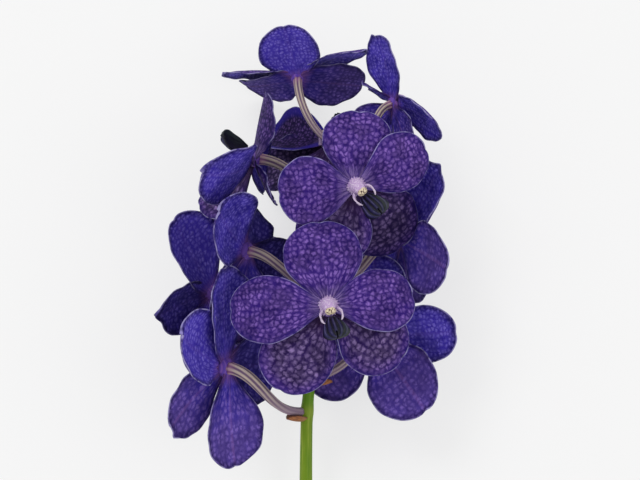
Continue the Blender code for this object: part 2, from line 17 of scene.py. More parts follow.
import bpy
import numpy as np
from mathutils import Euler, Matrix, Vector


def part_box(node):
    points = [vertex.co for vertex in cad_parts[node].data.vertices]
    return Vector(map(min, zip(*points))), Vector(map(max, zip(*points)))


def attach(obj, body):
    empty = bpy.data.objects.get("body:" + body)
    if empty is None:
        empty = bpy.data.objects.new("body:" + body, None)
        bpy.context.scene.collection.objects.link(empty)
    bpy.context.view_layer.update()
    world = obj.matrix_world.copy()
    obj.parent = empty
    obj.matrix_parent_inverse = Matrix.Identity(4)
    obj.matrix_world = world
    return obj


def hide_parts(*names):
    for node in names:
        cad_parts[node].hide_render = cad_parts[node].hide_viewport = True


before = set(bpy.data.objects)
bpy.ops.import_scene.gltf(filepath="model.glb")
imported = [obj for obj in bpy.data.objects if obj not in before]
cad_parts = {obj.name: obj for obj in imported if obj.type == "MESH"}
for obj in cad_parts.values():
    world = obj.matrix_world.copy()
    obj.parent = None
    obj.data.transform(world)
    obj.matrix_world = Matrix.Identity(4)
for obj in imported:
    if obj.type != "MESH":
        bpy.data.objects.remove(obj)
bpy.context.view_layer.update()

log = logging.getLogger("orchid")

Points = np.ndarray
Faces = list[tuple[int, ...]]
Part = tuple[Points, Faces, Points]  # vertices, faces and marks
Rows = tuple[tuple[float, ...], ...]
Colour = tuple[float, float, float, float]

MM = 0.001
NODE_GAP = 0.3 * MM  # between the solids that grow from each other
RIM_BULGE = 0.4  # how far a blade's rim stands out, as a share of its thickness
SINK = 0.2 * MM  # how deep a stalklet's foot sits in the stalk's skin
SOFT_LANDING = 0.35 * MM  # over what height a blade bends flat onto the surface


# Node trees


def shown_as(red: float, green: float, blue: float) -> Colour:
    """Gives the linear colour that a display shows as these values from 0 to 255.

    Args:
        red: The display's red.
        green: The display's green.
        blue: The display's blue.

    Returns:
        The colour with an alpha of 1, for a node's socket.
    """
    parts = [value / 255 for value in (red, green, blue)]
    linear = [v / 12.92 if v <= 0.04045 else ((v + 0.055) / 1.055) ** 2.4 for v in parts]
    return (linear[0], linear[1], linear[2], 1.0)


class Number:
    """One value of a node tree. Python's operators on it add Math nodes."""

    def __init__(self, sheet: "NodeSheet", socket: bpy.types.NodeSocket) -> None:
        """Wraps a socket of the sheet's tree."""
        self.sheet = sheet
        self.socket = socket

    def __add__(self, other: "Number | float") -> "Number":
        """Adds a value."""
        return self.sheet.maths("ADD", self, other)

    def __sub__(self, other: "Number | float") -> "Number":
        """Takes a value away."""
        return self.sheet.maths("SUBTRACT", self, other)

    def __rsub__(self, other: float) -> "Number":
        """Takes this value away from a plain number."""
        return self.sheet.maths("SUBTRACT", other, self)

    def __mul__(self, other: "Number | float") -> "Number":
        """Multiplies by a value."""
        return self.sheet.maths("MULTIPLY", self, other)

    __radd__ = __add__
    __rmul__ = __mul__

    def least(self, other: "Number | float") -> "Number":
        """Gives the lower of this and another value."""
        return self.sheet.maths("MINIMUM", self, other)

    def ramp(self, low: float, high: float) -> "Number":
        """Rises smoothly from 0 to 1 between two values.

        Args:
            low: Where the result is 0.
            high: Where the result is 1. It may be below low, for a ramp that falls.

        Returns:
            The value between 0 and 1.
        """
        start, end = sorted((low, high))
        mapped = self.sheet.node(
            "ShaderNodeMapRange",
            {"interpolation_type": "SMOOTHSTEP"},
            {"Value": self, "From Min": start, "From Max": end},
        )
        rising = Number(self.sheet, mapped.outputs["Result"])
        return rising if low < high else 1 - rising


class NodeSheet:
    """The node tree of one material, filled from Python expressions."""

    def __init__(self, name: str) -> None:
        """Makes a material that holds only its main shader and its output.

        Args:
            name: The material's name.
        """
        self.material = bpy.data.materials.new(name)
        self.material.use_nodes = True
        self.tree = self.material.node_tree
        self.shader = self.tree.nodes["Principled BSDF"]

    def node(
        self,
        kind: str,
        settings: dict[str, Any] | None = None,
        sockets: dict[str | int, Any] | None = None,
    ) -> bpy.types.Node:
        """Adds one node.

        Args:
            kind: The node's type.
            settings: Its settings, which are set first.
            sockets: Values or links for its input sockets, by name or number.

        Returns:
            The node.
        """
        made = self.tree.nodes.new(kind)
        for name, value in (settings or {}).items():
            setattr(made, name, value)
        for key, value in (sockets or {}).items():
            self.feed(made.inputs[key], value)
        return made

    def feed(self, socket: bpy.types.NodeSocket, value: Any) -> None:
        """Links a value or a socket into an input, or sets it if it is a plain number or colour.

        Args:
            socket: The input.
            value: A Number, a node's output socket, a number, or a tuple of numbers.
        """
        if isinstance(value, Number):
            value = value.socket
        if isinstance(value, bpy.types.NodeSocket):
            self.tree.links.new(value, socket)
        else:
            socket.default_value = value

    def maths(self, operation: str, *values: "Number | float") -> Number:
        """Adds a Math node.

        Args:
            operation: The node's operation.
            values: What goes into its sockets, in order.

        Returns:
            Its result.
        """
        made = self.node("ShaderNodeMath", {"operation": operation}, dict(enumerate(values)))
        return Number(self, made.outputs[0])

    def mark(self, name: str) -> tuple[Number, Number, Number]:
        """Reads three values that the mesh holds per vertex.

        Args:
            name: The name of the mesh's attribute.

        Returns:
            The three values.
        """
        read = self.node("ShaderNodeAttribute", {"attribute_name": name})
        split = self.node("ShaderNodeSeparateXYZ", None, {0: read.outputs["Vector"]})
        first, second, third = (Number(self, socket) for socket in split.outputs)
        return first, second, third

    def place(self, x: Number, y: Number, z: "Number | float") -> bpy.types.NodeSocket:
        """Joins three values into a place for a texture."""
        return self.node("ShaderNodeCombineXYZ", None, {0: x, 1: y, 2: z}).outputs[0]

    def noise(self, place: bpy.types.NodeSocket, scale: float, detail: float = 2.0) -> Number:
        """Adds a soft noise.

        Args:
            place: Where to read it.
            scale: How many of its features fit in one unit of the place.
            detail: How many finer layers it has.

        Returns:
            A value round 0.5.
        """
        made = self.node(
            "ShaderNodeTexNoise", None, {"Vector": place, "Scale": scale, "Detail": detail}
        )
        return Number(self, made.outputs["Fac"])

    def mixed(self, share: "Number | float", first: Any, second: Any) -> bpy.types.NodeSocket:
        """Mixes two colours.

        Args:
            share: How much of the second colour there is.
            first: A colour or a colour socket.
            second: A colour or a colour socket.

        Returns:
            The mixed colour's socket.
        """
        made = self.node(
            "ShaderNodeMix",
            {"data_type": "RGBA", "clamp_factor": True},
            {"Factor": share, 6: first, 7: second},
        )
        return made.outputs[2]

    def coated(self, base: Any, *coats: tuple["Number | float", Any]) -> bpy.types.NodeSocket:
        """Lays colours over each other.

        Args:
            base: The lowest colour.
            coats: How much there is of each further colour, and the colour, from the lowest up.

        Returns:
            The last mixed colour's socket.
        """
        for share, colour in coats:
            base = self.mixed(share, base, colour)
        return base

    def relief(self, height: Number, depth: float) -> None:
        """Raises the surface slightly in the light.

        Args:
            height: How high each place is, from 0 to 1.
            depth: The height of 1, in metres.
        """
        made = self.node("ShaderNodeBump", None, {"Distance": depth, "Height": height})
        self.feed(self.shader.inputs["Normal"], made.outputs["Normal"])

    def dress(self, **sockets: Any) -> bpy.types.Material:
        """Sets the main shader's sockets, with _ for the spaces in their names.

        Args:
            sockets: Values or links by socket name.

        Returns:
            The material.
        """
        for name, value in sockets.items():
            self.feed(self.shader.inputs[name.replace("_", " ")], value)
        return self.material


# Finishes


@dataclass(frozen=True)
class TepalFinish:
    """Violet-blue tepals: soft pale cells in a dark net in front, bluer behind.

    The marks across, along and margin are in millimetres, and so are the ends of their ramps.
    """

    name: str = "violet blue tepal"
    net: Colour = shown_as(33, 15, 86)
    net_light: Colour = shown_as(52, 28, 118)
    cell: Colour = shown_as(146, 110, 198)
    lower_net: Colour = shown_as(32, 16, 64)
    lower_light: Colour = shown_as(47, 27, 90)
    lower_cell: Colour = shown_as(150, 125, 182)
    # painted shade at a lateral sepal's foot, where the other blades overlap it
    foot_shade: Colour = shown_as(44, 24, 52)
    edge_zone: Colour = shown_as(36, 24, 104)
    margin_line: Colour = shown_as(176, 168, 218)
    streak: Colour = shown_as(178, 150, 212)
    back: Colour = shown_as(44, 33, 138)
    # the back's lighter patches, and painted light on a lit back
    back_patch_and_painted_light: Colour = shown_as(72, 56, 182)
    back_cell: Colour = shown_as(138, 122, 228)
    # painted shade along the back's margin, where the blade curves away
    back_edge_shade: Colour = shown_as(24, 15, 74)
    back_foot: Colour = shown_as(156, 104, 176)
    back_lower: Colour = shown_as(84, 64, 126)
    # painted shade, for blades that lie in shade and for a cupped blade's hollow
    shade: Colour = shown_as(18, 11, 42)
    cell_width: float = 2.8  # millimetres
    cell_length: float = 4.4
    scatter: float = 0.66  # how far the cells stray from a grid, up to 1
    shrink: float = 0.0028  # how much shorter the cells get towards the tip
    lower_growth: float = 0.24  # how much larger they are on a lateral sepal
    seed_step: float = 31.0  # how far apart two blades read the pattern
    drift: float = 2.6  # how far a row of cells sways, in millimetres
    wander: float = 0.8  # how far it sways along the blade, in cells
    ragged: float = 0.7  # how uneven the cells' own outlines are, in cells
    roughness: float = 0.6
    cell_polish: float = 0.1  # how much smoother the cells are
    gloss: float = 0.07
    depth: float = 0.3 * MM  # of the relief

    def make(self) -> bpy.types.Material:
        """Makes the material. It reads the marks cell and growth of a blade's mesh, and a third
        mark with its painted shade and light.

        Returns:
            The material.
        """
        sheet = NodeSheet(self.name)
        across, along, seed = sheet.mark("cell")
        margin, front, lower = sheet.mark("growth")
        # Painted shade and light of each blade: darker where it lies in shade, darker in a cupped
        # middle, lighter where its back is lit.
        dark, cup_shade, painted_light = sheet.mark("tone")

        # Where the net of cells is read: one unit to a cell.
        shift = seed * self.seed_step
        ground = sheet.place(across + shift, along, seed)
        drift = sheet.noise(ground, 0.3) - 0.5
        wander = sheet.noise(sheet.place(along + shift, across, seed), 0.3) - 0.5
        fine = 1 + self.lower_growth * 0.5 - self.lower_growth * lower
        ragged = sheet.noise(ground, 0.8) - 0.5
        uneven = sheet.noise(sheet.place(along, across + shift, seed), 0.8) - 0.5
        wide = (across + drift * self.drift + shift) * (1 / self.cell_width) * fine
        wide = wide + ragged * self.ragged
        high = along * (1 / self.cell_length + along * self.shrink) * fine
        high = high + wander * self.wander + uneven * self.ragged
        spot = sheet.place(wide, high, 0.0)
        edge = Number(sheet, self.voronoi(sheet, spot, "DISTANCE_TO_EDGE").outputs["Distance"])
        near = self.voronoi(sheet, spot, "SMOOTH_F1")
        reach = Number(sheet, near.outputs["Distance"])
        chance = sheet.node("ShaderNodeSeparateXYZ", None, {0: near.outputs["Color"]})
        luck = Number(sheet, chance.outputs[0])

        # How strong the cells, the veins and the pale line of the margin are.
        patch = sheet.noise(ground, 0.11, 3.0).ramp(0.34, 0.64)
        grain = sheet.noise(ground, 1.5).ramp(0.34, 0.66)
        inside = margin.ramp(0.2, 3.0)
        beyond = along.ramp(3.0, 14.0)
        # Painted shade, over a blade that lies in shade and in a cupped blade's middle.
        painted_shade = (dark + cup_shade * margin.ramp(1.0, 7.0)).least(1.0)
        blob = edge.ramp(-0.06, 0.3) * reach.ramp(0.62, 0.1)
        strength = (0.4 + 0.6 * luck) * (0.5 + 0.5 * patch) * (1 - 0.6 * painted_shade)
        cells = blob * strength * (0.4 + 0.6 * inside) * (0.2 + 0.8 * beyond)
        veins = sheet.noise(sheet.place(wide * 2.1, high * 0.22, seed), 1.0).ramp(0.42, 0.66)
        foot = along.ramp(11.0, 2.5)
        open_margin = along.ramp(7.0, 14.0) * sheet.noise(ground, 0.3).ramp(0.3, 0.6)
        line = margin.ramp(0.42, 0.12) * open_margin

        # The front, from the net to the painted shade at a lateral sepal's foot.
        pale = lower * margin.ramp(0.5, 9.0)
        light = sheet.mixed(pale, self.net_light, self.lower_light)
        cell = sheet.mixed(pale, self.cell, self.lower_cell)
        face = sheet.coated(
            self.net,
            (pale, self.lower_net),
            (patch * 0.75 + (grain - 0.5) * 0.4, light),
            (margin.ramp(3.4, 0.4) * 0.6, self.edge_zone),
            # painted shade
            (painted_shade * 0.85, self.shade),
            (cells * (0.8 + 0.2 * grain), cell),
            (veins * beyond * 0.12 * (1 - painted_shade), cell),
            (foot * (0.12 + 0.5 * veins) * (1 - 0.7 * lower), self.streak),
            # painted shade near a lateral sepal's foot
            (lower * along.ramp(17.0, 6.0) * 0.75, self.foot_shade),
            # round a cupped blade's painted shade, its margin takes the back's blue
            (cup_shade * margin.ramp(7.0, 2.5) * 0.85, self.back),
        )

        # The back, bluer and with a midrib, with painted shade along its margin and painted light
        # where it is lit.
        strength = strength * (0.45 + 0.55 * inside) * (0.4 + 0.6 * beyond)
        midrib = (across * across).ramp(1.6, 0.0) * beyond
        rear_cell = sheet.mixed(lower * beyond * 0.6, self.back_cell, self.cell)
        rear = sheet.coated(
            self.back,
            # lighter patches, and painted light where the back is lit
            (patch * 0.8 + (grain - 0.5) * 0.4 + painted_light, self.back_patch_and_painted_light),
            (lower * along.ramp(10.0, 30.0) * 0.55, self.back_lower),
            (midrib * (0.06 + 0.16 * lower), self.back_foot),
            # painted shade where the blade curves away at its margin
            (margin.ramp(4.0, 0.3) * 0.85, self.back_edge_shade),
            # painted shade on the back too
            (painted_shade * 0.8, self.shade),
            # painted light brightens the cells too
            (blob * strength * (0.75 + 0.25 * grain + 0.4 * painted_light), rear_cell),
            (veins * beyond * 0.12 * (1 - painted_shade), rear_cell),
            (along.ramp(9.0, 2.0) * (0.25 + 0.5 * veins), self.back_foot),
        )

        rim_line = (line * (0.65 - 0.4 * painted_shade), self.margin_line)
        skin = sheet.coated(rear, (front, face), rim_line)
        sheet.relief(cells * 0.7 + veins * 0.2 + grain * 0.25, self.depth)
        rough = self.roughness + self.cell_polish * (1 - cells)
        return sheet.dress(Base_Color=skin, Roughness=rough, Specular_IOR_Level=self.gloss)

    def voronoi(
        self, sheet: NodeSheet, spot: bpy.types.NodeSocket, feature: str
    ) -> bpy.types.Node:
        """Adds the cell pattern.

        Args:
            sheet: The sheet to add it to.
            spot: Where to read it, one unit to a cell.
            feature: Which of its results is wanted.

        Returns:
            The texture's node.
        """
        return sheet.node(
            "ShaderNodeTexVoronoi",
            {"voronoi_dimensions": "2D", "feature": feature},
            {"Vector": spot, "Scale": 1.0, "Randomness": self.scatter},
        )


@dataclass(frozen=True)
class ColumnFinish:
    """Waxy pale lilac, with a cream cap that has dark marks."""

    name: str = "pale lilac column"
    lilac: Colour = shown_as(184, 152, 200)
    shadow: Colour = shown_as(136, 98, 178)
    white: Colour = shown_as(216, 200, 222)
    cream: Colour = shown_as(222, 206, 176)
    dark: Colour = shown_as(74, 46, 48)

    def make(self) -> bpy.types.Material:
        """Makes the material. It reads the mark heart: along, cap and lobe, from 0 to 1.

        Returns:
            The material.
        """
        sheet = NodeSheet(self.name)
        along, cap, lobe = sheet.mark("heart")
        x, y, z = sheet.mark("grain")
        fleck = sheet.noise(sheet.place(x, y, z), 1.5, 3.0)
        marks = cap * sheet.noise(sheet.place(x * 1.7, y * 0.8, z), 1.2, 1.0).ramp(0.52, 0.6)
        body = sheet.coated(
            self.lilac,
            (along.ramp(0.34, 0.02), self.shadow),
            (fleck.ramp(0.46, 0.62) * 0.85, self.white),
            (lobe * along.ramp(0.1, 0.6), self.white),
            (cap, self.cream),
            (marks, self.dark),
        )
        sheet.relief(fleck, 0.3 * MM)
        return sheet.dress(Base_Color=body, Roughness=0.5 + 0.1 * fleck, Specular_IOR_Level=0.3)


@dataclass(frozen=True)
class LipFinish:
    """Waxy near black, navy at the margins and greenish between the keels, with a painted highlight
    along the keels' crests.
    """

    name: str = "near black lip"
    black: Colour = shown_as(10, 9, 20)
    navy: Colour = shown_as(33, 30, 72)
    green: Colour = shown_as(34, 42, 42)
    # painted highlight on the keels' crests
    pale: Colour = shown_as(128, 122, 164)

    def make(self) -> bpy.types.Material:
        """Makes the material. It reads the mark lip: along, across and keel height.

        Returns:
            The material.
        """
        sheet = NodeSheet(self.name)
        along, across, keel = sheet.mark("lip")
        x, y, z = sheet.mark("grain")
        grain = sheet.noise(sheet.place(across * 5.0, along * 1.6, x * 0.1), 2.0)
        # Painted highlight along the keels' crests.
        keel_highlight = keel.ramp(0.8, 1.0) * grain.ramp(0.4, 0.6)
        body = sheet.coated(
            self.black,
            ((keel + grain * 0.7).ramp(0.3, 1.2), self.navy),
            (across.ramp(-0.2, 0.8) * grain.ramp(0.3, 0.6), self.green),
            (keel_highlight * (0.3 + 0.4 * along.ramp(0.35, 0.0)), self.pale),
        )
        sheet.relief(grain + sheet.noise(sheet.place(x, y, z), 2.0) * 0.4, 0.12 * MM)
        return sheet.dress(Base_Color=body, Roughness=0.36 + 0.16 * grain, Specular_IOR_Level=0.3)


@dataclass(frozen=True)
class StalkletFinish:
    """Cream ribs with purple grooves, pinker at the bloom and mauve at the foot."""

    name: str = "striped stalklet"
    rib: Colour = shown_as(192, 176, 160)
    groove: Colour = shown_as(104, 78, 110)
    pink: Colour = shown_as(190, 122, 166)
    mauve: Colour = shown_as(142, 120, 142)

    def make(self) -> bpy.types.Material:
        """Makes the material. It reads the mark rib: groove, along and turn.

        Returns:
            The material.
        """
        sheet = NodeSheet(self.name)
        groove, along, turn = sheet.mark("rib")
        streak = sheet.noise(sheet.place(turn, along * 1.5, 0.0), 7.0, 3.0)
        stripe = (groove + streak * 0.6).ramp(0.45, 1.3) * (0.45 + 0.55 * along.ramp(0.1, 0.6))
        body = sheet.coated(
            self.rib,
            (along.ramp(0.8, 0.1) * 0.85, self.mauve),
            (stripe, self.groove),
            (along.ramp(0.9, 1.0) * 0.5, self.pink),
            (streak.ramp(0.62, 0.75) * 0.3, self.groove),
        )
        sheet.relief(streak, 0.08 * MM)
        return sheet.dress(Base_Color=body, Roughness=0.5 + 0.12 * streak, Specular_IOR_Level=0.25)


@dataclass(frozen=True)
class StalkFinish:
    """Fresh yellow-green skin with fine lengthwise streaks, and a pale cut face."""

    name: str = "green stalk"
    green: Colour = shown_as(104, 134, 14)
    light: Colour = shown_as(140, 158, 52)
    deep: Colour = shown_as(72, 114, 16)
    young: Colour = shown_as(82, 134, 8)
    cut: Colour = shown_as(196, 200, 130)

    def make(self) -> bpy.types.Material:
        """Makes the material. It reads the marks grain and stalk: height, cut and node.

        Returns:
            The material.
        """
        sheet = NodeSheet(self.name)
        x, y, z = sheet.mark("grain")
        height, cut, node = sheet.mark("stalk")
        streak = sheet.noise(sheet.place(x, y * 0.035, z), 0.9, 3.0)
        cloud = sheet.noise(sheet.place(x * 0.3, y * 0.05, z * 0.3), 1.0)
        pith = sheet.noise(sheet.place(x, y, z), 2.2).ramp(0.45, 0.65)
        body = sheet.coated(
            self.green,
            (streak.ramp(0.46, 0.7), self.light),
            (cloud.ramp(0.45, 0.7) * 0.45, self.deep),
            (height.ramp(-0.01, 0.04) * 0.65, self.young),
            (node * 0.5, self.light),
            (cut, sheet.mixed(pith * 0.5, self.cut, self.green)),
        )
        sheet.relief(streak, 0.12 * MM)
        rough = 0.45 + 0.16 * streak
        return sheet.dress(Base_Color=body, Roughness=rough, Specular_IOR_Level=0.25)


@dataclass(frozen=True)
class BractFinish:
    """Dry papery brown-orange, paler at the root."""

    name: str = "dry bract"
    orange: Colour = shown_as(166, 104, 56)
    brown: Colour = shown_as(98, 54, 34)
    root: Colour = shown_as(150, 106, 66)

    def make(self) -> bpy.types.Material:
        """Makes the material. It reads the marks cell and growth of the scoop's mesh.

        Returns:
            The material.
        """
        sheet = NodeSheet(self.name)
        across, along, seed = sheet.mark("cell")
        margin, _, _ = sheet.mark("growth")
        fibre = sheet.noise(sheet.place(across, along * 0.25, seed * 9.0), 1.6, 3.0)
        body = sheet.coated(
            self.orange,
            (fibre.ramp(0.4, 0.65), self.brown),
            (along.ramp(3.6, 0.6), self.root),
            (margin.ramp(0.5, 0.05) * 0.6, self.brown),
        )
        sheet.relief(fibre, 0.15 * MM)
        return sheet.dress(Base_Color=body, Roughness=0.7 + 0.1 * fibre)


@dataclass(frozen=True)
class FloorFinish:
    """A plain pale floor."""

    name: str = "pale floor"
    colour: Colour = shown_as(140, 140, 140)
    glow: float = 0.66  # the light that it gives itself, as a white light table does

    def make(self) -> bpy.types.Material:
        """Makes the material.

        Returns:
            The material.
        """
        return NodeSheet(self.name).dress(
            Base_Color=self.colour,
            Roughness=0.9,
            Specular_IOR_Level=0.0,
            Emission_Color=(1.0, 1.0, 1.0, 1.0),
            Emission_Strength=self.glow,
        )


# Meshes


def unit(vectors: Points) -> Points:
    """Vectors scaled to a length of 1, along the last axis."""
    return vectors / np.linalg.norm(vectors, axis=-1, keepdims=True)


def moved(matrix: Points, points: Points) -> Points:
    """Points moved by a 4 by 4 matrix."""
    return points @ matrix[:3, :3].T + matrix[:3, 3]


def turned(first: Points, second: Points, angle: Points | float) -> tuple[Points, Points]:
    """Two coordinates after a turn from the first towards the second.

    Args:
        first: The first coordinate of each point.
        second: The second coordinate of each point.
        angle: The turn in degrees.

    Returns:
        The two new coordinates.
    """
    sine, cosine = np.sin(np.radians(angle)), np.cos(np.radians(angle))
    return first * cosine - second * sine, first * sine + second * cosine


def bent(length: Points | float, angle: Points | float, share: Points) -> tuple[Points, Points]:
    """How far along and forward a share of a strip reaches that is bent back evenly.

    Args:
        length: The strip's length.
        angle: The whole bend in degrees.
        share: The share of the length.

    Returns:
        The reach along and the reach forward.
    """
    turn = np.radians(angle) * share
    run = length * share
    return run * np.sinc(turn / np.pi), -run * np.sin(turn / 2) * np.sinc(turn / 2 / np.pi)


def curve_through(rows: Points, count: int) -> Points:
    """Reads a smooth curve through the rows of a table.

    Args:
        rows: The table, one row for each point that the curve passes.
        count: How many rows to read, evenly from the first to the last.

    Returns:
        The finer table.
    """
    rows = np.asarray(rows, float)
    ends = np.vstack([2 * rows[0] - rows[1], rows, 2 * rows[-1] - rows[-2]])
    at = np.linspace(0, len(rows) - 1, count)
    start = np.minimum(at.astype(int), len(rows) - 2)
    t = (at - start)[:, None]
    p0, p1, p2, p3 = (ends[start + n] for n in range(4))
    return 0.5 * (
        2 * p1
        + (p2 - p0) * t
        + (2 * p0 - 5 * p1 + 4 * p2 - p3) * t**2
        + (3 * p1 - p0 - 3 * p2 + p3) * t**3
    )


def turns_of(sides: int) -> Points:
    """Angles spaced evenly round a circle, in radians."""
    return 2 * np.pi * np.arange(sides) / sides


def circle(sides: int) -> Points:
    """Points round a circle of radius 1 that faces forward, as rows."""
    turns = turns_of(sides)
    return np.stack([np.cos(turns), np.sin(turns), np.zeros(sides)], -1)


@dataclass
class Piece:
    """The mesh of one piece of the spray, added part by part."""

    name: str
    slot: str
    stands_for: str  # the solid that it replaces
    points: list[Points] = field(default_factory=list)
    faces: Faces = field(default_factory=list)
    marks: dict[str, list[Points]] = field(default_factory=dict)
    count: int = 0

    def add(self, points: Points, faces: Faces, **marks: Points) -> None:
        """Adds a part.

        Args:
            points: Its vertices as rows.
            faces: Its faces, as numbers of its own vertices.
            marks: Values per vertex for the finish, three to a row.
        """
        self.points.append(points)
        self.faces += [tuple(corner + self.count for corner in face) for face in faces]
        for name, values in marks.items():
            self.marks.setdefault(name, []).append(values)
        self.count += len(points)

    def build(self, material: bpy.types.Material, matrix: Points) -> bpy.types.Object:
        """Makes the object, puts it on the frame's one body and hides its solid.

        Args:
            material: The piece's finish.
            matrix: From the frame of the piece's points to the world.

        Returns:
            The object.
        """
        mesh = bpy.data.meshes.new(self.name)
        mesh.from_pydata(moved(matrix, np.vstack(self.points)), [], self.faces)
        for name, values in self.marks.items():
            layer = mesh.attributes.new(name, "FLOAT_VECTOR", "POINT")
            layer.data.foreach_set("vector", np.vstack(values).astype(np.float32).ravel())
        mesh.shade_smooth()
        mesh.materials.append(material)
        made = bpy.data.objects.new(self.name, mesh)
        bpy.context.scene.collection.objects.link(made)
        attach(made, "root")
        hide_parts(self.stands_for)
        self.report(made)
        return made

    def report(self, made: bpy.types.Object) -> None:
        """Logs how fine the piece is and how far it reaches past its solid.

        Args:
            made: The piece's object.
        """
        low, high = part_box(self.stands_for)
        corners = np.array([vertex.co for vertex in made.data.vertices])
        past = max(*(np.array(low) - corners.min(0)), *(corners.max(0) - np.array(high)))
        log.info("%s: %d faces, %.1f mm past its solid", self.name, len(self.faces), past / MM)


def rim_of(rows: int, columns: int) -> Points:
    """Numbers the outer points of a grid, anticlockwise from its first one.

    Args:
        rows: The grid's rows.
        columns: The grid's columns.

    Returns:
        The numbers in order.
    """
    number = np.arange(rows * columns).reshape(rows, columns)
    return np.concatenate([number[0, :-1], number[:-1, -1], number[-1, :0:-1], number[:0:-1, 0]])


def sheet_of_leaf(middle: Points, thickness: Points) -> tuple[Points, Faces]:
    """Closes a thin blade round its middle surface, with a rounded rim.

    Args:
        middle: The middle surface, rows by columns by 3. Columns run to the right and rows
            run up, as seen from the front.
        thickness: The thickness at each of its points.

    Returns:
        Vertices, in the order front, back and rim, and faces.
    """
    rows, columns = thickness.shape
    run = np.gradient(middle, axis=0)
    side = np.gradient(middle, axis=1)
    normal = unit(np.cross(side, run))
    half = normal * thickness[..., None] / 2
    loop = rim_of(rows, columns)
    around = middle.reshape(-1, 3)[loop]
    ahead = unit(np.roll(around, -1, 0) - np.roll(around, 1, 0))
    outward = unit(np.cross(ahead, normal.reshape(-1, 3)[loop]))
    rim = around + outward * thickness.reshape(-1)[loop][:, None] * RIM_BULGE
    points = np.vstack([(middle + half).reshape(-1, 3), (middle - half).reshape(-1, 3), rim])

    total = rows * columns
    number = np.arange(total).reshape(rows, columns)
    quads = np.stack(
        [number[:-1, :-1], number[:-1, 1:], number[1:, 1:], number[1:, :-1]], -1
    ).reshape(-1, 4)
    faces = [tuple(quad) for quad in quads.tolist()]
    faces += [tuple(quad) for quad in (quads[:, ::-1] + total).tolist()]
    rims = (np.arange(len(loop)) + 2 * total).tolist()
    front = loop.tolist()
    for a, b, m, n in zip(front, front[1:] + front[:1], rims, rims[1:] + rims[:1]):
        faces += [(a, m, n, b), (m, a + total, b + total, n)]
    return points, faces


def leaf_marks(rows: int, columns: int, front: Points, back: Points) -> Points:
    """Joins a leaf's values for its front and back, and gives its rim the mean of both.

    Args:
        rows: The rows of its middle surface.
        columns: The columns of its middle surface.
        front: Values of the front, three to a row.
        back: Values of the back, three to a row.

    Returns:
        Values per vertex, in the order of sheet_of_leaf.
    """
    loop = rim_of(rows, columns)
    return np.vstack([front, back, (front[loop] + back[loop]) / 2])


def tube(loops: Points) -> tuple[Points, Faces]:
    """Closes a tube through loops of points, with a face across each end.

    Args:
        loops: Loops by sides by 3, anticlockwise as seen from the tube's far end.

    Returns:
        Vertices and faces.
    """
    count, sides = loops.shape[:2]
    number = np.arange(count * sides).reshape(count, sides)
    after = np.roll(number, -1, 1)
    quads = np.stack([number[:-1], after[:-1], after[1:], number[1:]], -1).reshape(-1, 4)
    faces = [tuple(quad) for quad in quads.tolist()]
    faces.append(tuple(number[0, ::-1].tolist()))
    faces.append(tuple(number[-1].tolist()))
    return loops.reshape(-1, 3), faces


def marks_of(*values: Points | float) -> Points:
    """Joins three arrays, spread to one shape, into rows of three."""
    return np.stack(np.broadcast_arrays(*values), -1).reshape(-1, 3)


# The flower stalk


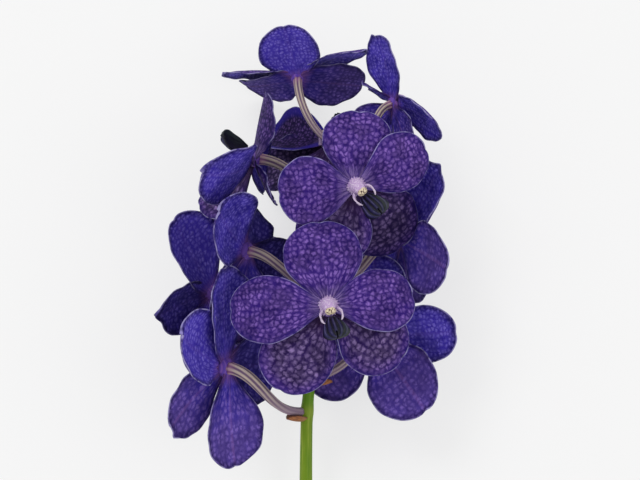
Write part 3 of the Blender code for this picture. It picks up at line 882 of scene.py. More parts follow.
@dataclass(frozen=True)
class FlowerStalk:
    """The green stalk from its cut end to its tip, and how the whole spray lies."""

    below: float = 150 * MM  # from the lowest bract to the cut end
    top: float = 137 * MM
    foot_radius: float = 3.6 * MM
    top_radius: float = 1.7 * MM
    sway: float = 19 * MM  # how far to the right its top stands
    start: float = -1.1 * MM  # how far to the right its foot stands
    sway_height: float = 56 * MM
    sway_reach: float = 16 * MM
    zigzag: float = 0.5 * MM
    zigzag_reach: float = 11 * MM
    bow: float = 3 * MM  # how far its middle hangs back
    node_swell: float = 0.45 * MM  # how far the skin swells at a bract
    node_reach: float = 3.2 * MM
    tip_angle: float = 10.0
    centre_x: float = 0.7 * MM  # the middle of the spray's box
    centre_y: float = 19.7 * MM
    taper: float = 1.5
    sides: int = 28
    rings: int = 150
    # Rings of the cut face: share of the radius, and millimetres above the cut end.
    cut_rings: Rows = ((0.04, 0.35), (0.4, 0.25), (0.78, 0.0), (0.93, 0.02))
    cut_edge: float = 0.2 * MM  # where the skin starts
    # Rings of the tip: share of the radius, and radii above the top.
    tip_rings: Rows = ((0.92, 0.35), (0.7, 0.8), (0.4, 1.2), (0.1, 1.45))

    def point(self, y: Points | float) -> Points:
        """The stalk's centre at a height in the plant frame.

        Args:
            y: The height, or several.

        Returns:
            One point, or points as rows.
        """
        y = np.asarray(y, float)
        share = (y + self.below) / (self.top + self.below)
        rise = 1 / (1 + np.exp(-(y - self.sway_height) / self.sway_reach))
        zigzag = np.where(y > 0, self.zigzag * np.sin(y / self.zigzag_reach), 0)
        x = self.sway * rise + self.start * (1 - rise) + zigzag
        return np.stack([x, y, -self.bow * np.sin(np.pi * share)], -1)

    def radius(self, y: Points | float) -> Points:
        """The stalk's radius at a height in the plant frame."""
        share = (np.asarray(y, float) + self.below) / (self.top + self.below)
        return self.foot_radius + (self.top_radius - self.foot_radius) * share**self.taper

    def lying(self) -> Points:
        """Tips the plant frame about X, with the cut end on the surface.

        Returns:
            The matrix from the plant frame to the world.
        """
        turn = Matrix.Rotation(math.radians(self.tip_angle), 4, "X")
        foot = self.point(-self.below)
        lowest = turn @ Vector((foot[0], foot[1], foot[2] - self.foot_radius))
        shift = Matrix.Translation((-self.centre_x, -self.centre_y, -lowest.z))
        return np.array(shift @ turn)

    def stalk(self, feet: list[float]) -> Piece:
        """Makes the stalk.

        Args:
            feet: Heights of the bracts.

        Returns:
            The piece, in the plant frame.
        """
        heights = np.linspace(-self.below, self.top, self.rings)
        gaps = np.abs(heights[:, None] - np.array(feet) * MM)
        swell = np.exp(-((gaps / self.node_reach) ** 2)).max(1)
        radii = self.radius(heights) + self.node_swell * swell
        skin = heights + (heights == -self.below) * self.cut_edge
        cut_shares, cut_heights = np.array(self.cut_rings).T
        tip_shares, tip_heights = np.array(self.tip_rings).T
        cut_heights = -self.below + cut_heights * MM
        tip_heights = self.top + tip_heights * self.top_radius
        ys = np.concatenate([cut_heights, skin, tip_heights])
        rs = np.concatenate([self.foot_radius * cut_shares, radii, tip_shares * self.top_radius])
        turns = turns_of(self.sides)
        around = np.stack([-np.sin(turns), np.zeros(self.sides), -np.cos(turns)], -1)
        centres = self.point(ys)
        points, faces = tube(centres[:, None] + around[None] * rs[:, None, None])
        cut = np.where(np.arange(len(ys)) < len(cut_heights), 1.0, 0.0)
        nodes = np.concatenate([np.zeros(len(cut_heights)), swell, np.ones(len(tip_heights))])
        high = ys[:, None] / self.top * np.ones(self.sides)
        piece = Piece("flower_stalk_skin", "stalk", "flower_stalk")
        piece.add(
            points,
            faces,
            grain=(points - np.repeat(centres * [1, 0, 1], self.sides, 0)) / MM,
            stalk=marks_of(high, cut[:, None], nodes[:, None]),
        )
        return piece


@dataclass(frozen=True)
class Bract:
    """The small dry scoop under the foot of each stalklet."""

    width: float = 8.4 * MM
    thickness: float = 0.8 * MM
    dish: float = 0.32
    thinning: float = 0.5  # how much thinner its margins are
    # Away from the stalk and up in millimetres, and share of the width, at each row.
    rows: Rows = (
        (-2.0, -4.6, 0.6),
        (2.1, -4.4, 1.0),
        (5.2, -3.8, 0.9),
        (7.6, -3.1, 0.4),
        (8.2, -3.0, 0.12),
    )
    row_count: int = 14
    column_count: int = 11

    def add_to(self, piece: Piece, surface: Points, out: Points, seed: float) -> None:
        """Adds the scoop to the bracts' piece.

        Args:
            piece: The piece.
            surface: Where the stalk's skin meets the foot, in the plant frame.
            out: The level direction away from the stalk.
            seed: A number that makes this one's fibres its own.
        """
        up = np.array([0.0, 1.0, 0.0])
        side = np.cross(up, out)
        table = curve_through(np.array(self.rows), self.row_count)
        across = np.linspace(-1, 1, self.column_count)[None, :, None]
        past, height, width = (table[:, None, None, n] for n in range(3))
        middle = surface + out * past * MM + up * height * MM
        middle = middle + side * across * width * self.width / 2
        middle = middle + up * self.dish * self.width * width * across**2
        aside = across[..., 0]
        thinner = 1 - self.thinning * np.abs(aside)
        points, faces = sheet_of_leaf(middle, self.thickness * thinner * np.ones((len(table), 1)))
        spread = width[..., 0] * self.width / MM / 2
        cell = marks_of(aside * spread, past[..., 0], seed)
        growth = marks_of((1 - np.abs(aside)) * spread, 1.0, 0.0)
        cell, growth = (
            leaf_marks(self.row_count, self.column_count, mark, mark) for mark in (cell, growth)
        )
        piece.add(points, faces, cell=cell, growth=growth)


# The blooms


class Tepal(Enum):
    """The three sepals and two petals of a bloom, by the name of a Bloom's field."""

    DORSAL = "dorsal"
    PETAL_RIGHT = "petal_right"
    PETAL_LEFT = "petal_left"
    LATERAL_RIGHT = "lateral_right"
    LATERAL_LEFT = "lateral_left"


@dataclass(frozen=True)
class Blade:
    """One sepal or petal: its size, and how it is turned and bent."""

    length: float
    width: float
    clock: float  # direction seen from the front, clockwise from the top
    lean: float  # towards the front
    level: float  # how far in front of the bloom's middle plane it starts
    claw: float = 1.15  # the higher, the narrower it stays near its foot
    twist: float = 0.0
    bend: float = 26.0  # along the length, tip backwards
    arch: float = 30.0  # across the width, margins backwards
    wave: float = 1.0 * MM
    phase: float = 0.0
    notch: float = 0.8 * MM  # how deep the tip is notched; below 0 it is drawn out
    notch_at: float = 0.0  # where across the tip, from -1 to 1
    notch_reach: float = 2.2 * MM
    scallop: float = 0.012  # how far the outline swells and shrinks, as a share of the width
    lower: float = 0.0  # 1 on a lateral sepal, which is paler and browner
    dark: float = 0.0  # how much painted shade darkens it where it lies in shade, up to 1
    cup_shade: float = 0.0  # how much painted shade darkens its middle, as in a cupped blade's hollow, up to 1
    painted_light: float = 0.0  # how much painted light brightens its back, up to 1

    widest_at: float = 0.59  # share of the length
    claw_share: float = 0.12
    twist_at: float = 0.3
    scallop_turns: float = 3.1
    scallop_offset: float = 2.1  # how differently the two margins swell
    wave_turns: float = 1.3
    wave_skew: float = 1.4
    ruffle: float = 0.45 * MM  # finer waves along the margin
    ruffle_turns: float = 4.3
    ruffle_skew: float = 2.0
    midrib: float = 0.35 * MM  # depth of the groove along the middle
    midrib_reach: float = 1.6 * MM
    midrib_end: float = 1.1  # share of the length where it would run out
    midrib_rise: float = 6.0  # how soon it starts
    tip_share: float = 0.2  # share of the length that the notch bends
    notch_rise: float = 1.5
    thickness: float = 0.9 * MM
    rim_thickness: float = 0.5  # share of the thickness
    rim_reach: float = 5 * MM
    foot_share: float = 0.03  # where the first row lies
    tip_turn: float = 88.4  # where the last row lies on the tip's curve, in degrees
    row_count: int = 42
    tip_rows: int = 17
    column_count: int = 27
    narrowest_fan: float = 0.2  # how far the cells narrow towards the foot

    def shares(self) -> Points:
        """Spaces the rows of the mesh along the blade, closer together round the tip.

        Returns:
            Shares of the length.
        """
        below = self.row_count - self.tip_rows
        foot = np.linspace(self.foot_share, self.widest_at, below, endpoint=False)
        angles = np.radians(np.linspace(0, self.tip_turn, self.tip_rows))
        return np.concatenate([foot, self.widest_at + (1 - self.widest_at) * np.sin(angles)])

    def half_width(self, share: Points) -> Points:
        """Works out half the width of a blade of width 2.

        Args:
            share: Shares of its length.

        Returns:
            The half width at each.
        """
        rise = np.sin(np.pi / 2 * np.minimum(share / self.widest_at, 1)) ** self.claw
        past = np.clip((share - self.widest_at) / (1 - self.widest_at), 0, 1)
        return np.where(
            share < self.widest_at,
            self.claw_share + (1 - self.claw_share) * rise,
            np.sqrt(1 - past**2),
        )

    def middle(self, share: Points, across: Points) -> Points:
        """The middle surface in the bloom's frame.

        Args:
            share: 0 at the bloom's centre to 1 at the tip.
            across: -1 at the left margin to 1 at the right one.

        Returns:
            Points, with their coordinates on a last axis.
        """
        half = self.half_width(share)
        turn = 2 * np.pi * share
        swell = turn * self.scallop_turns + 5 * self.phase + self.scallop_offset * np.sign(across)
        half = half * (1 + self.scallop * np.sin(swell) * np.abs(across))
        along, depth = bent(self.length, self.bend, share)
        side, drop = bent(self.width / 2 * half, self.arch * half, across)
        swing = turn * self.wave_turns + self.phase + self.wave_skew * across
        flutter = turn * self.ruffle_turns + 3 * self.phase - self.ruffle_skew * across
        depth = depth + drop + self.wave * np.sin(swing) * across**2 * share
        depth = depth + self.ruffle * np.sin(flutter) * np.abs(across) ** 3 * share
        groove = np.exp(-((across * half * self.width / 2 / self.midrib_reach) ** 2))
        fade = np.clip(self.midrib_end - share, 0, 1) * np.clip(share * self.midrib_rise, 0, 1)
        depth = depth - self.midrib * groove * fade
        at_tip = (across * half - self.notch_at * 0.5) * self.width / 2
        dent = np.exp(-((at_tip / self.notch_reach) ** 2))
        near_tip = np.clip((share - 1 + self.tip_share) / self.tip_share, 0, 1)
        along = along - self.notch * dent * near_tip**self.notch_rise
        side, depth = turned(side, depth, self.twist * np.minimum(1.0, share / self.twist_at))
        along, depth = turned(along, depth, self.lean)
        up, right = turned(along, side, self.clock)
        return np.stack([right, up, depth + self.level], -1)

    def margin(self, share: Points, across: Points) -> Points:
        """Measures how far places are from the blade's margin.

        Args:
            share: Shares of the length.
            across: Places across, from -1 to 1.

        Returns:
            The distances in metres.
        """
        past = np.clip((share - self.widest_at) / (1 - self.widest_at), 0, 1)
        reach = np.sqrt(past**2 + (across * self.half_width(share)) ** 2)
        beside = (1 - np.abs(across)) * self.half_width(share)
        return np.where(share < self.widest_at, beside, 1 - reach) * self.width / 2

    def changed(self, changes: dict[str, float]) -> "Blade":
        """Gives a copy of the blade with some values changed.

        Args:
            changes: The new values by name, with lengths in millimetres.

        Returns:
            The new blade.
        """
        lengths = ("length", "width", "level", "notch")
        metric = {name: value * MM for name, value in changes.items() if name in lengths}
        return replace(self, **{**changes, **metric})

    def add_to(self, piece: Piece, bloom: "Bloom", seed: float) -> None:
        """Adds the blade to its bloom's piece.

        Args:
            piece: The piece.
            bloom: The bloom that it grows on.
            seed: A number that makes this one's pattern its own.
        """
        share = self.shares()[:, None]
        across = np.linspace(-1, 1, self.column_count)[None, :]
        middle = bloom.laid_down(self.middle(share, across) * bloom.size, self.thickness)
        margin = self.margin(share, across)
        full = np.clip(margin / self.rim_reach, 0, 1) ** 0.5
        thickness = self.thickness * (self.rim_thickness + (1 - self.rim_thickness) * full)
        points, faces = sheet_of_leaf(middle, thickness)
        # Near the foot the cells keep their number across and get narrower.
        fan = np.maximum(self.half_width(np.minimum(share, self.widest_at)), self.narrowest_fan)
        side = across * self.half_width(share) * self.width / 2 / fan / MM
        cell = marks_of(side, share * self.length / MM, seed)
        front, back = (marks_of(margin / MM, facing, self.lower) for facing in (1.0, 0.0))
        grid = margin.shape
        piece.add(
            points,
            faces,
            cell=leaf_marks(*grid, cell, cell),
            growth=leaf_marks(*grid, front, back),
            tone=marks_of(self.dark, self.cup_shade, np.full(len(points), self.painted_light)),
        )


BLADES = {
    Tepal.DORSAL: Blade(42 * MM, 38 * MM, 0, -2, -0.6 * MM, bend=18, arch=28, phase=0.3),
    Tepal.PETAL_RIGHT: Blade(46 * MM, 34 * MM, 88, 7, 0.75 * MM, arch=24, phase=1.1),
    Tepal.PETAL_LEFT: Blade(46 * MM, 34 * MM, -88, 7, 0.75 * MM, arch=24, phase=2.3),
    Tepal.LATERAL_RIGHT: Blade(
        46 * MM, 38 * MM, 139, -7, -0.6 * MM, claw=1.5, bend=20, arch=26, phase=0.8, lower=1.0
    ),
    Tepal.LATERAL_LEFT: Blade(
        46 * MM, 38 * MM, -139, -7, -1.8 * MM, claw=1.5, bend=20, arch=26, phase=3.0, lower=1.0
    ),
}


@dataclass(frozen=True)
class Hub:
    """The small body behind the column that the tepals grow from."""

    radius: float = 4.4 * MM
    end_radius: float = 3.0 * MM
    front: float = 1.6 * MM
    back: float = -2.7 * MM
    cell_margin: float = 6.0  # its skin is dressed as a blade's this far in, in millimetres
    sides: int = 32
    rings: int = 15

    def add_to(self, piece: Piece, bloom: "Bloom", seed: float) -> None:
        """Adds the hub to its bloom's piece.

        Args:
            piece: The piece.
            bloom: The bloom.
            seed: The number of its pattern.
        """
        middle = (self.front + self.back) / 2
        rings = ((self.back, self.end_radius), (middle, self.radius), (self.front, self.end_radius))
        table = curve_through(np.array(rings), self.rings)
        loops = circle(self.sides)[None] * table[:, 1][:, None, None]
        loops = loops + np.array([0, 0, 1.0]) * table[:, 0][:, None, None]
        points, faces = tube(loops * bloom.size)
        piece.add(
            points,
            faces,
            cell=marks_of(points[:, 0] / MM, 1.0, seed),
            growth=marks_of(self.cell_margin, np.where(points[:, 2] > 0, 1.0, 0.0), 0.0),
            tone=np.zeros(points.shape),
        )


@dataclass(frozen=True)
class Column:
    """The pale column with its star at the root, its cap and its two side lobes."""

    radius: float = 2.6 * MM
    length: float = 7.5 * MM
    # Forward and up in lengths, and radius in radii, at each ring.
    rings: Rows = (
        (-0.10, 0.02, 1.42),
        (0.04, 0.05, 1.50),
        (0.22, 0.09, 1.40),
        (0.44, 0.08, 1.22),
        (0.64, -0.01, 1.04),
        (0.82, -0.12, 0.86),
        (0.92, -0.20, 0.50),
    )
    spikes: int = 11
    spike_reach: float = 0.36  # share of the radius at the root
    spike_at: float = 0.17  # share of the length
    spike_spread: float = 0.07
    ripple: float = 0.02
    ripples: int = 13
    cap_centre: tuple[float, float, float] = (0.0, -2.0, 6.5)  # millimetres
    cap_size: tuple[float, float, float] = (2.4, 1.8, 1.5)
    cap_cleft: float = 0.16
    cap_cleft_reach: float = 0.22
    cap_end: float = 0.06  # how close its rings come to its poles, in radians
    cap_grid: tuple[int, int] = (18, 32)
    lobe_width: float = 1.7 * MM
    lobe_thickness: float = 0.8 * MM
    lobe_curl: float = 0.16
    lobe_taper: float = 1.6  # the higher, the nearer to its tip it keeps its thickness
    lobe_grid: tuple[int, int] = (26, 20)
    # Centre in millimetres and share of the width at each row.
    lobe_rows: Rows = (
        (1.4, -0.8, 1.6, 0.8),
        (3.6, -1.8, 2.8, 1.0),
        (4.7, -3.5, 4.4, 1.0),
        (4.6, -5.2, 5.9, 0.75),
        (3.9, -6.4, 6.9, 0.3),
        (3.5, -6.8, 7.2, 0.1),
    )
    sides: int = 60
    row_count: int = 30

    def body(self) -> Part:
        """The column itself, from its star to just behind its cap.

        Returns:
            The part, before it is turned to the bloom.
        """
        table = curve_through(np.array(self.rings), self.row_count)
        turns = turns_of(self.sides)
        uneven = 0.75 + 0.25 * np.sin(5 * turns + 1)
        star = np.abs(np.cos(self.spikes * turns)) ** 3 * uneven
        share = np.linspace(0, 1, self.row_count)
        flare = self.spike_reach * np.exp(-(((share - self.spike_at) / self.spike_spread) ** 2))
        flare = flare[:, None] * star[None] + self.ripple * np.sin(self.ripples * turns)[None]
        radii = self.radius * table[:, 2][:, None] * (1 + flare)
        centres = np.stack([0 * share, table[:, 1], table[:, 0]], -1) * self.length
        points, faces = tube(centres[:, None] + circle(self.sides)[None] * radii[..., None])
        return points, faces, marks_of(share[:, None], np.zeros(self.sides), 0.0)

    def cap(self) -> Part:
        """The cap at the column's end, with a cleft down its front.

        Returns:
            The part, before it is turned to the bloom.
        """
        rows, sides = self.cap_grid
        tilt = np.linspace(self.cap_end, np.pi - self.cap_end, rows)[:, None]
        turn = turns_of(sides)[None, :]
        dent = np.exp(-((np.cos(turn) / self.cap_cleft_reach) ** 2)) * np.sin(tilt)
        girth = np.sin(tilt) * (1 - self.cap_cleft * dent)
        ahead = -np.cos(tilt) * np.ones_like(turn)
        ball = np.stack([girth * np.cos(turn), girth * np.sin(turn), ahead], -1)
        loops = np.array(self.cap_centre) * MM + ball * np.array(self.cap_size) * MM
        points, faces = tube(loops)
        return points, faces, marks_of(1.0, 1.0, np.zeros(len(points)))

    def lobe(self, side: int) -> Part:
        """One of the two lobes that curl forward beside the column.

        Args:
            side: 1 for the right one, -1 for the left one.

        Returns:
            The part, before it is turned to the bloom.
        """
        rows, sides = self.lobe_grid
        table = curve_through(np.array(self.lobe_rows), rows)
        centres = table[:, :3] * np.array([side, 1, 1]) * MM
        run = unit(np.gradient(centres, axis=0))
        first = np.array([0.0, 1.0, 0.0])
        first = unit(first - run * (run @ first)[:, None])
        second = np.cross(run, first)
        turns = turns_of(sides)[None, :, None]
        wide = (table[:, 3] * self.lobe_width / 2)[:, None, None] * np.cos(turns)
        thick = self.lobe_thickness / 2 * np.sin(turns)
        thick = thick * np.clip(table[:, 3] * self.lobe_taper, 0.1, 1)[:, None, None]
        curl = -side * self.lobe_width * self.lobe_curl * np.cos(turns) ** 2
        loops = centres[:, None] + first[:, None] * wide + second[:, None] * (thick + curl)
        points, faces = tube(loops)
        return points, faces, marks_of(np.linspace(0, 1, rows)[:, None], np.zeros(sides), 1.0)

    def piece(self, bloom: "Bloom") -> Piece:
        """Makes the column of a bloom.

        Args:
            bloom: The bloom.

        Returns:
            The piece, in the bloom's frame.
        """
        piece = bloom.new_piece("column", "column")
        for points, faces, heart in (self.body(), self.cap(), self.lobe(1), self.lobe(-1)):
            piece.add(bloom.at_heart(points), faces, heart=heart, grain=points / MM)
        return piece


@dataclass(frozen=True)
class Lip:
    """The dark lip: keels along its upper side and a tip in two lobes."""

    width: float = 12.0 * MM
    thickness: float = 1.6 * MM
    curl: float = 0.18
    keel_height: float = 0.8 * MM
    keels: int = 5
    keel_rise: float = 8.0  # how soon the keels start
    keel_fall: float = 5.0  # how soon they end
    cleft: float = 6.0 * MM  # how deep the tip is parted
    cleft_reach: float = 0.2  # how wide, as a share of half the width
    cleft_from: float = 0.6  # share of the length
    thinning: float = 0.7  # how much thinner its margins are
    # Up and forward in millimetres, and share of the width, at each row.
    rows: Rows = (
        (-5.0, 1.7, 0.5),
        (-6.8, 5.4, 0.8),
        (-8.6, 9.2, 0.95),
        (-10.8, 12.4, 1.0),
        (-13.0, 14.4, 0.7),
        (-13.8, 15.0, 0.25),
    )
    top_steps: int = 43
    under_steps: int = 15
    row_count: int = 44

    def piece(self, bloom: "Bloom") -> Piece:
        """Makes the lip of a bloom.

        Args:
            bloom: The bloom.

        Returns:
            The piece, in the bloom's frame.
        """
        table = curve_through(np.array(self.rows), self.row_count)
        centres = np.stack([0 * table[:, 0], table[:, 0], table[:, 1]], -1) * MM
        run = unit(np.gradient(centres, axis=0))
        top = np.cross(run, [1.0, 0.0, 0.0])
        over = np.linspace(1, -1, self.top_steps)
        under = np.linspace(-1, 1, self.under_steps + 2)[1:-1]
        across = np.concatenate([over, under])
        above = np.concatenate([np.ones(self.top_steps), np.zeros(self.under_steps)])
        keel = (0.5 + 0.5 * np.cos(self.keels * np.pi * across)) * above
        share = np.linspace(0, 1, self.row_count)[:, None]
        fade = np.clip((1 - share) * self.keel_fall, 0.25, 1)
        fade = fade * np.clip(share * self.keel_rise, 0.2, 1)
        half = self.thickness / 2 * (1 - self.thinning * across**2)
        height = np.where(above > 0, half, -half)[None] + self.keel_height * keel[None] * fade
        reach = table[:, 2:3] * self.width / 2
        height = height - self.curl * self.width * table[:, 2:3] * across[None] ** 2
        parted = self.cleft * np.exp(-((across / self.cleft_reach) ** 2))[None]
        parted = parted * np.clip((share - self.cleft_from) / (1 - self.cleft_from), 0, 1) ** 1.5
        loops = centres[:, None] + np.array([1.0, 0, 0]) * (reach * across[None])[..., None]
        loops = loops + top[:, None] * height[..., None] - run[:, None] * parted[..., None]
        points, faces = tube(loops)
        piece = bloom.new_piece("lip", "lip")
        lip = marks_of(share, across[None], keel[None])
        piece.add(bloom.at_heart(points), faces, lip=lip, grain=points / MM)
        return piece


@dataclass(frozen=True)
class Stalklet:
    """The ribbed stalklet between the stalk and a bloom."""

    ribs: int = 6
    rib_depth: float = 0.18
    rib_rise: float = 3.0  # how soon the ribs start
    foot_radius: float = 1.9 * MM
    top_radius: float = 2.6 * MM
    pull: float = 0.4  # how far it heads straight on at each end, as a share of the distance
    spiral: float = 50.0  # how far the ribs turn from the foot to the bloom
    flare: float = 0.12  # how much it widens at the bloom
    flare_from: float = 11 / 12  # share of its length
    sides: int = 72
    rings: int = 48

    def piece(self, bloom: "Bloom") -> Piece:
        """Makes the stalklet of a bloom.

        Args:
            bloom: The bloom.

        Returns:
            The piece, in the bloom's frame.
        """
        share = np.linspace(0, 1, self.rings)
        centres, ahead = self.route(bloom, share)
        first = np.array([0.0, 1.0, 0.0])
        firsts = []
        for direction in ahead:
            first = unit(first - direction * (first @ direction))
            firsts.append(first)
        firsts = np.array(firsts)
        seconds = np.cross(ahead, firsts)
        turns = turns_of(self.sides)
        groove = (1 - np.cos(self.ribs * turns)) / 2
        depth = self.rib_depth * np.minimum(1.0, share * self.rib_rise)[:, None]
        radius = self.foot_radius + (self.top_radius - self.foot_radius) * share
        near_end = np.clip((share - self.flare_from) / (1 - self.flare_from), 0, 1)
        flare = 1 + self.flare * near_end**2
        radii = (radius * flare)[:, None] * bloom.size * (1 - depth * groove[None])
        angle = (turns[None] + np.radians(self.spiral) * share[:, None])[..., None]
        around = np.cos(angle) * firsts[:, None] + np.sin(angle) * seconds[:, None]
        points, faces = tube(centres[:, None] + radii[..., None] * around)
        piece = bloom.new_piece("stalklet", "stalklet")
        rib = marks_of(groove[None], share[:, None], np.cos(turns)[None])
        piece.add(moved(np.linalg.inv(bloom.matrix), points), faces, rib=rib)
        return piece

    def route(self, bloom: "Bloom", share: Points) -> tuple[Points, Points]:
        """The stalklet's centre line in the plant frame.

        Args:
            bloom: The bloom.
            share: Shares of its length.

        Returns:
            Centres and directions, as rows.
        """
        forward = bloom.matrix[:3, 2]
        out = bloom.away_from_stalk()
        foot = bloom.foot * MM
        start = STALK.point(foot) + out * (STALK.radius(foot) - SINK)
        end = bloom.centre + forward * (HUB.back * bloom.size)
        pull = np.linalg.norm(end - start) * self.pull
        pulls = np.array([start, start + out * pull, end - forward * pull, end])
        t, rest = share[:, None], 1 - share[:, None]
        weights = np.hstack([rest**3, 3 * t * rest**2, 3 * t * t * rest, t**3])
        slopes = np.hstack([rest * rest, 2 * t * rest, t * t])
        return weights @ pulls, unit(slopes @ np.diff(pulls, axis=0))


@dataclass(frozen=True)
class Bloom:
    """Where one bloom sits in the plant frame, in millimetres, and where it faces."""

    name: str
    x: float
    y: float
    z: float
    facing: float  # about the stalk: 0 to the front, 90 to the right
    tilt: float  # upwards
    roll: float = 0.0
    size: float = 1.0
    foot: float = 0.0  # height of its bract on the stalk
    lip_clock: float = 180.0  # where the lip points, seen from the front
    nod: float = 0.0  # how far the column and lip are raised
    # What differs from the usual blades, with lengths in millimetres.
    dorsal: dict[str, float] = field(default_factory=dict)
    petal_right: dict[str, float] = field(default_factory=dict)
    petal_left: dict[str, float] = field(default_factory=dict)
    lateral_right: dict[str, float] = field(default_factory=dict)
    lateral_left: dict[str, float] = field(default_factory=dict)

    @property
    def centre(self) -> Points:
        """The bloom's middle in the plant frame."""
        return np.array([self.x, self.y, self.z]) * MM

    @property
    def matrix(self) -> Points:
        """Turns and places the bloom.

        Returns:
            The matrix from the bloom's frame to the plant frame.
        """
        angles = (math.radians(v) for v in (-self.tilt, self.facing, -self.roll))
        turn = Euler(angles, "ZXY").to_matrix().to_4x4()
        return np.array(Matrix.Translation(self.centre) @ turn)

    @property
    def to_world(self) -> Points:
        """From the bloom's frame to the world."""
        return STALK.lying() @ self.matrix

    def away_from_stalk(self) -> Points:
        """The level direction from the stalk to the bloom, in the plant frame."""
        away = self.centre - STALK.point(self.foot * MM)
        return unit(np.array([away[0], 0, away[2]]))

    def laid_down(self, points: Points, thickness: float) -> Points:
        """A blade's points, raised to the surface where they would go below it.

        Args:
            points: Points in the bloom's frame.
            thickness: The blade's thickness.

        Returns:
            The points in the bloom's frame.
        """
        world = moved(self.to_world, points)
        over = (world[..., 2] - thickness / 2) / SOFT_LANDING
        world[..., 2] = thickness / 2 + SOFT_LANDING * np.logaddexp(0, over)
        return moved(np.linalg.inv(self.to_world), world)

    def at_heart(self, points: Points) -> Points:
        """Points of a column or lip, raised by the nod, turned with the lip and set on the hub.

        Args:
            points: Points with their origin where the column starts.

        Returns:
            The points in the bloom's frame.
        """
        right, up, ahead = points.T
        raised = up + ahead * math.tan(math.radians(self.nod))
        upward, across = turned(raised, right, self.lip_clock - 180)
        return np.array([across, upward, ahead + HUB.front + NODE_GAP]).T * self.size

    def new_piece(self, part: str, slot: str) -> Piece:
        """Starts the fine piece that replaces one of the bloom's solids."""
        return Piece(f"{self.name}_{part}_fine", slot, f"{self.name}_{part}")

    def tepals(self, number: int) -> Piece:
        """Makes the bloom's hub and five blades.

        Args:
            number: The bloom's number, which seeds its pattern.

        Returns:
            The piece, in the bloom's frame.
        """
        piece = self.new_piece("tepals", "petal")
        HUB.add_to(piece, self, float(number))
        for place, (tepal, usual) in enumerate(BLADES.items()):
            seed = number + place / len(BLADES)
            usual.changed(getattr(self, tepal.value)).add_to(piece, self, seed)
        return piece
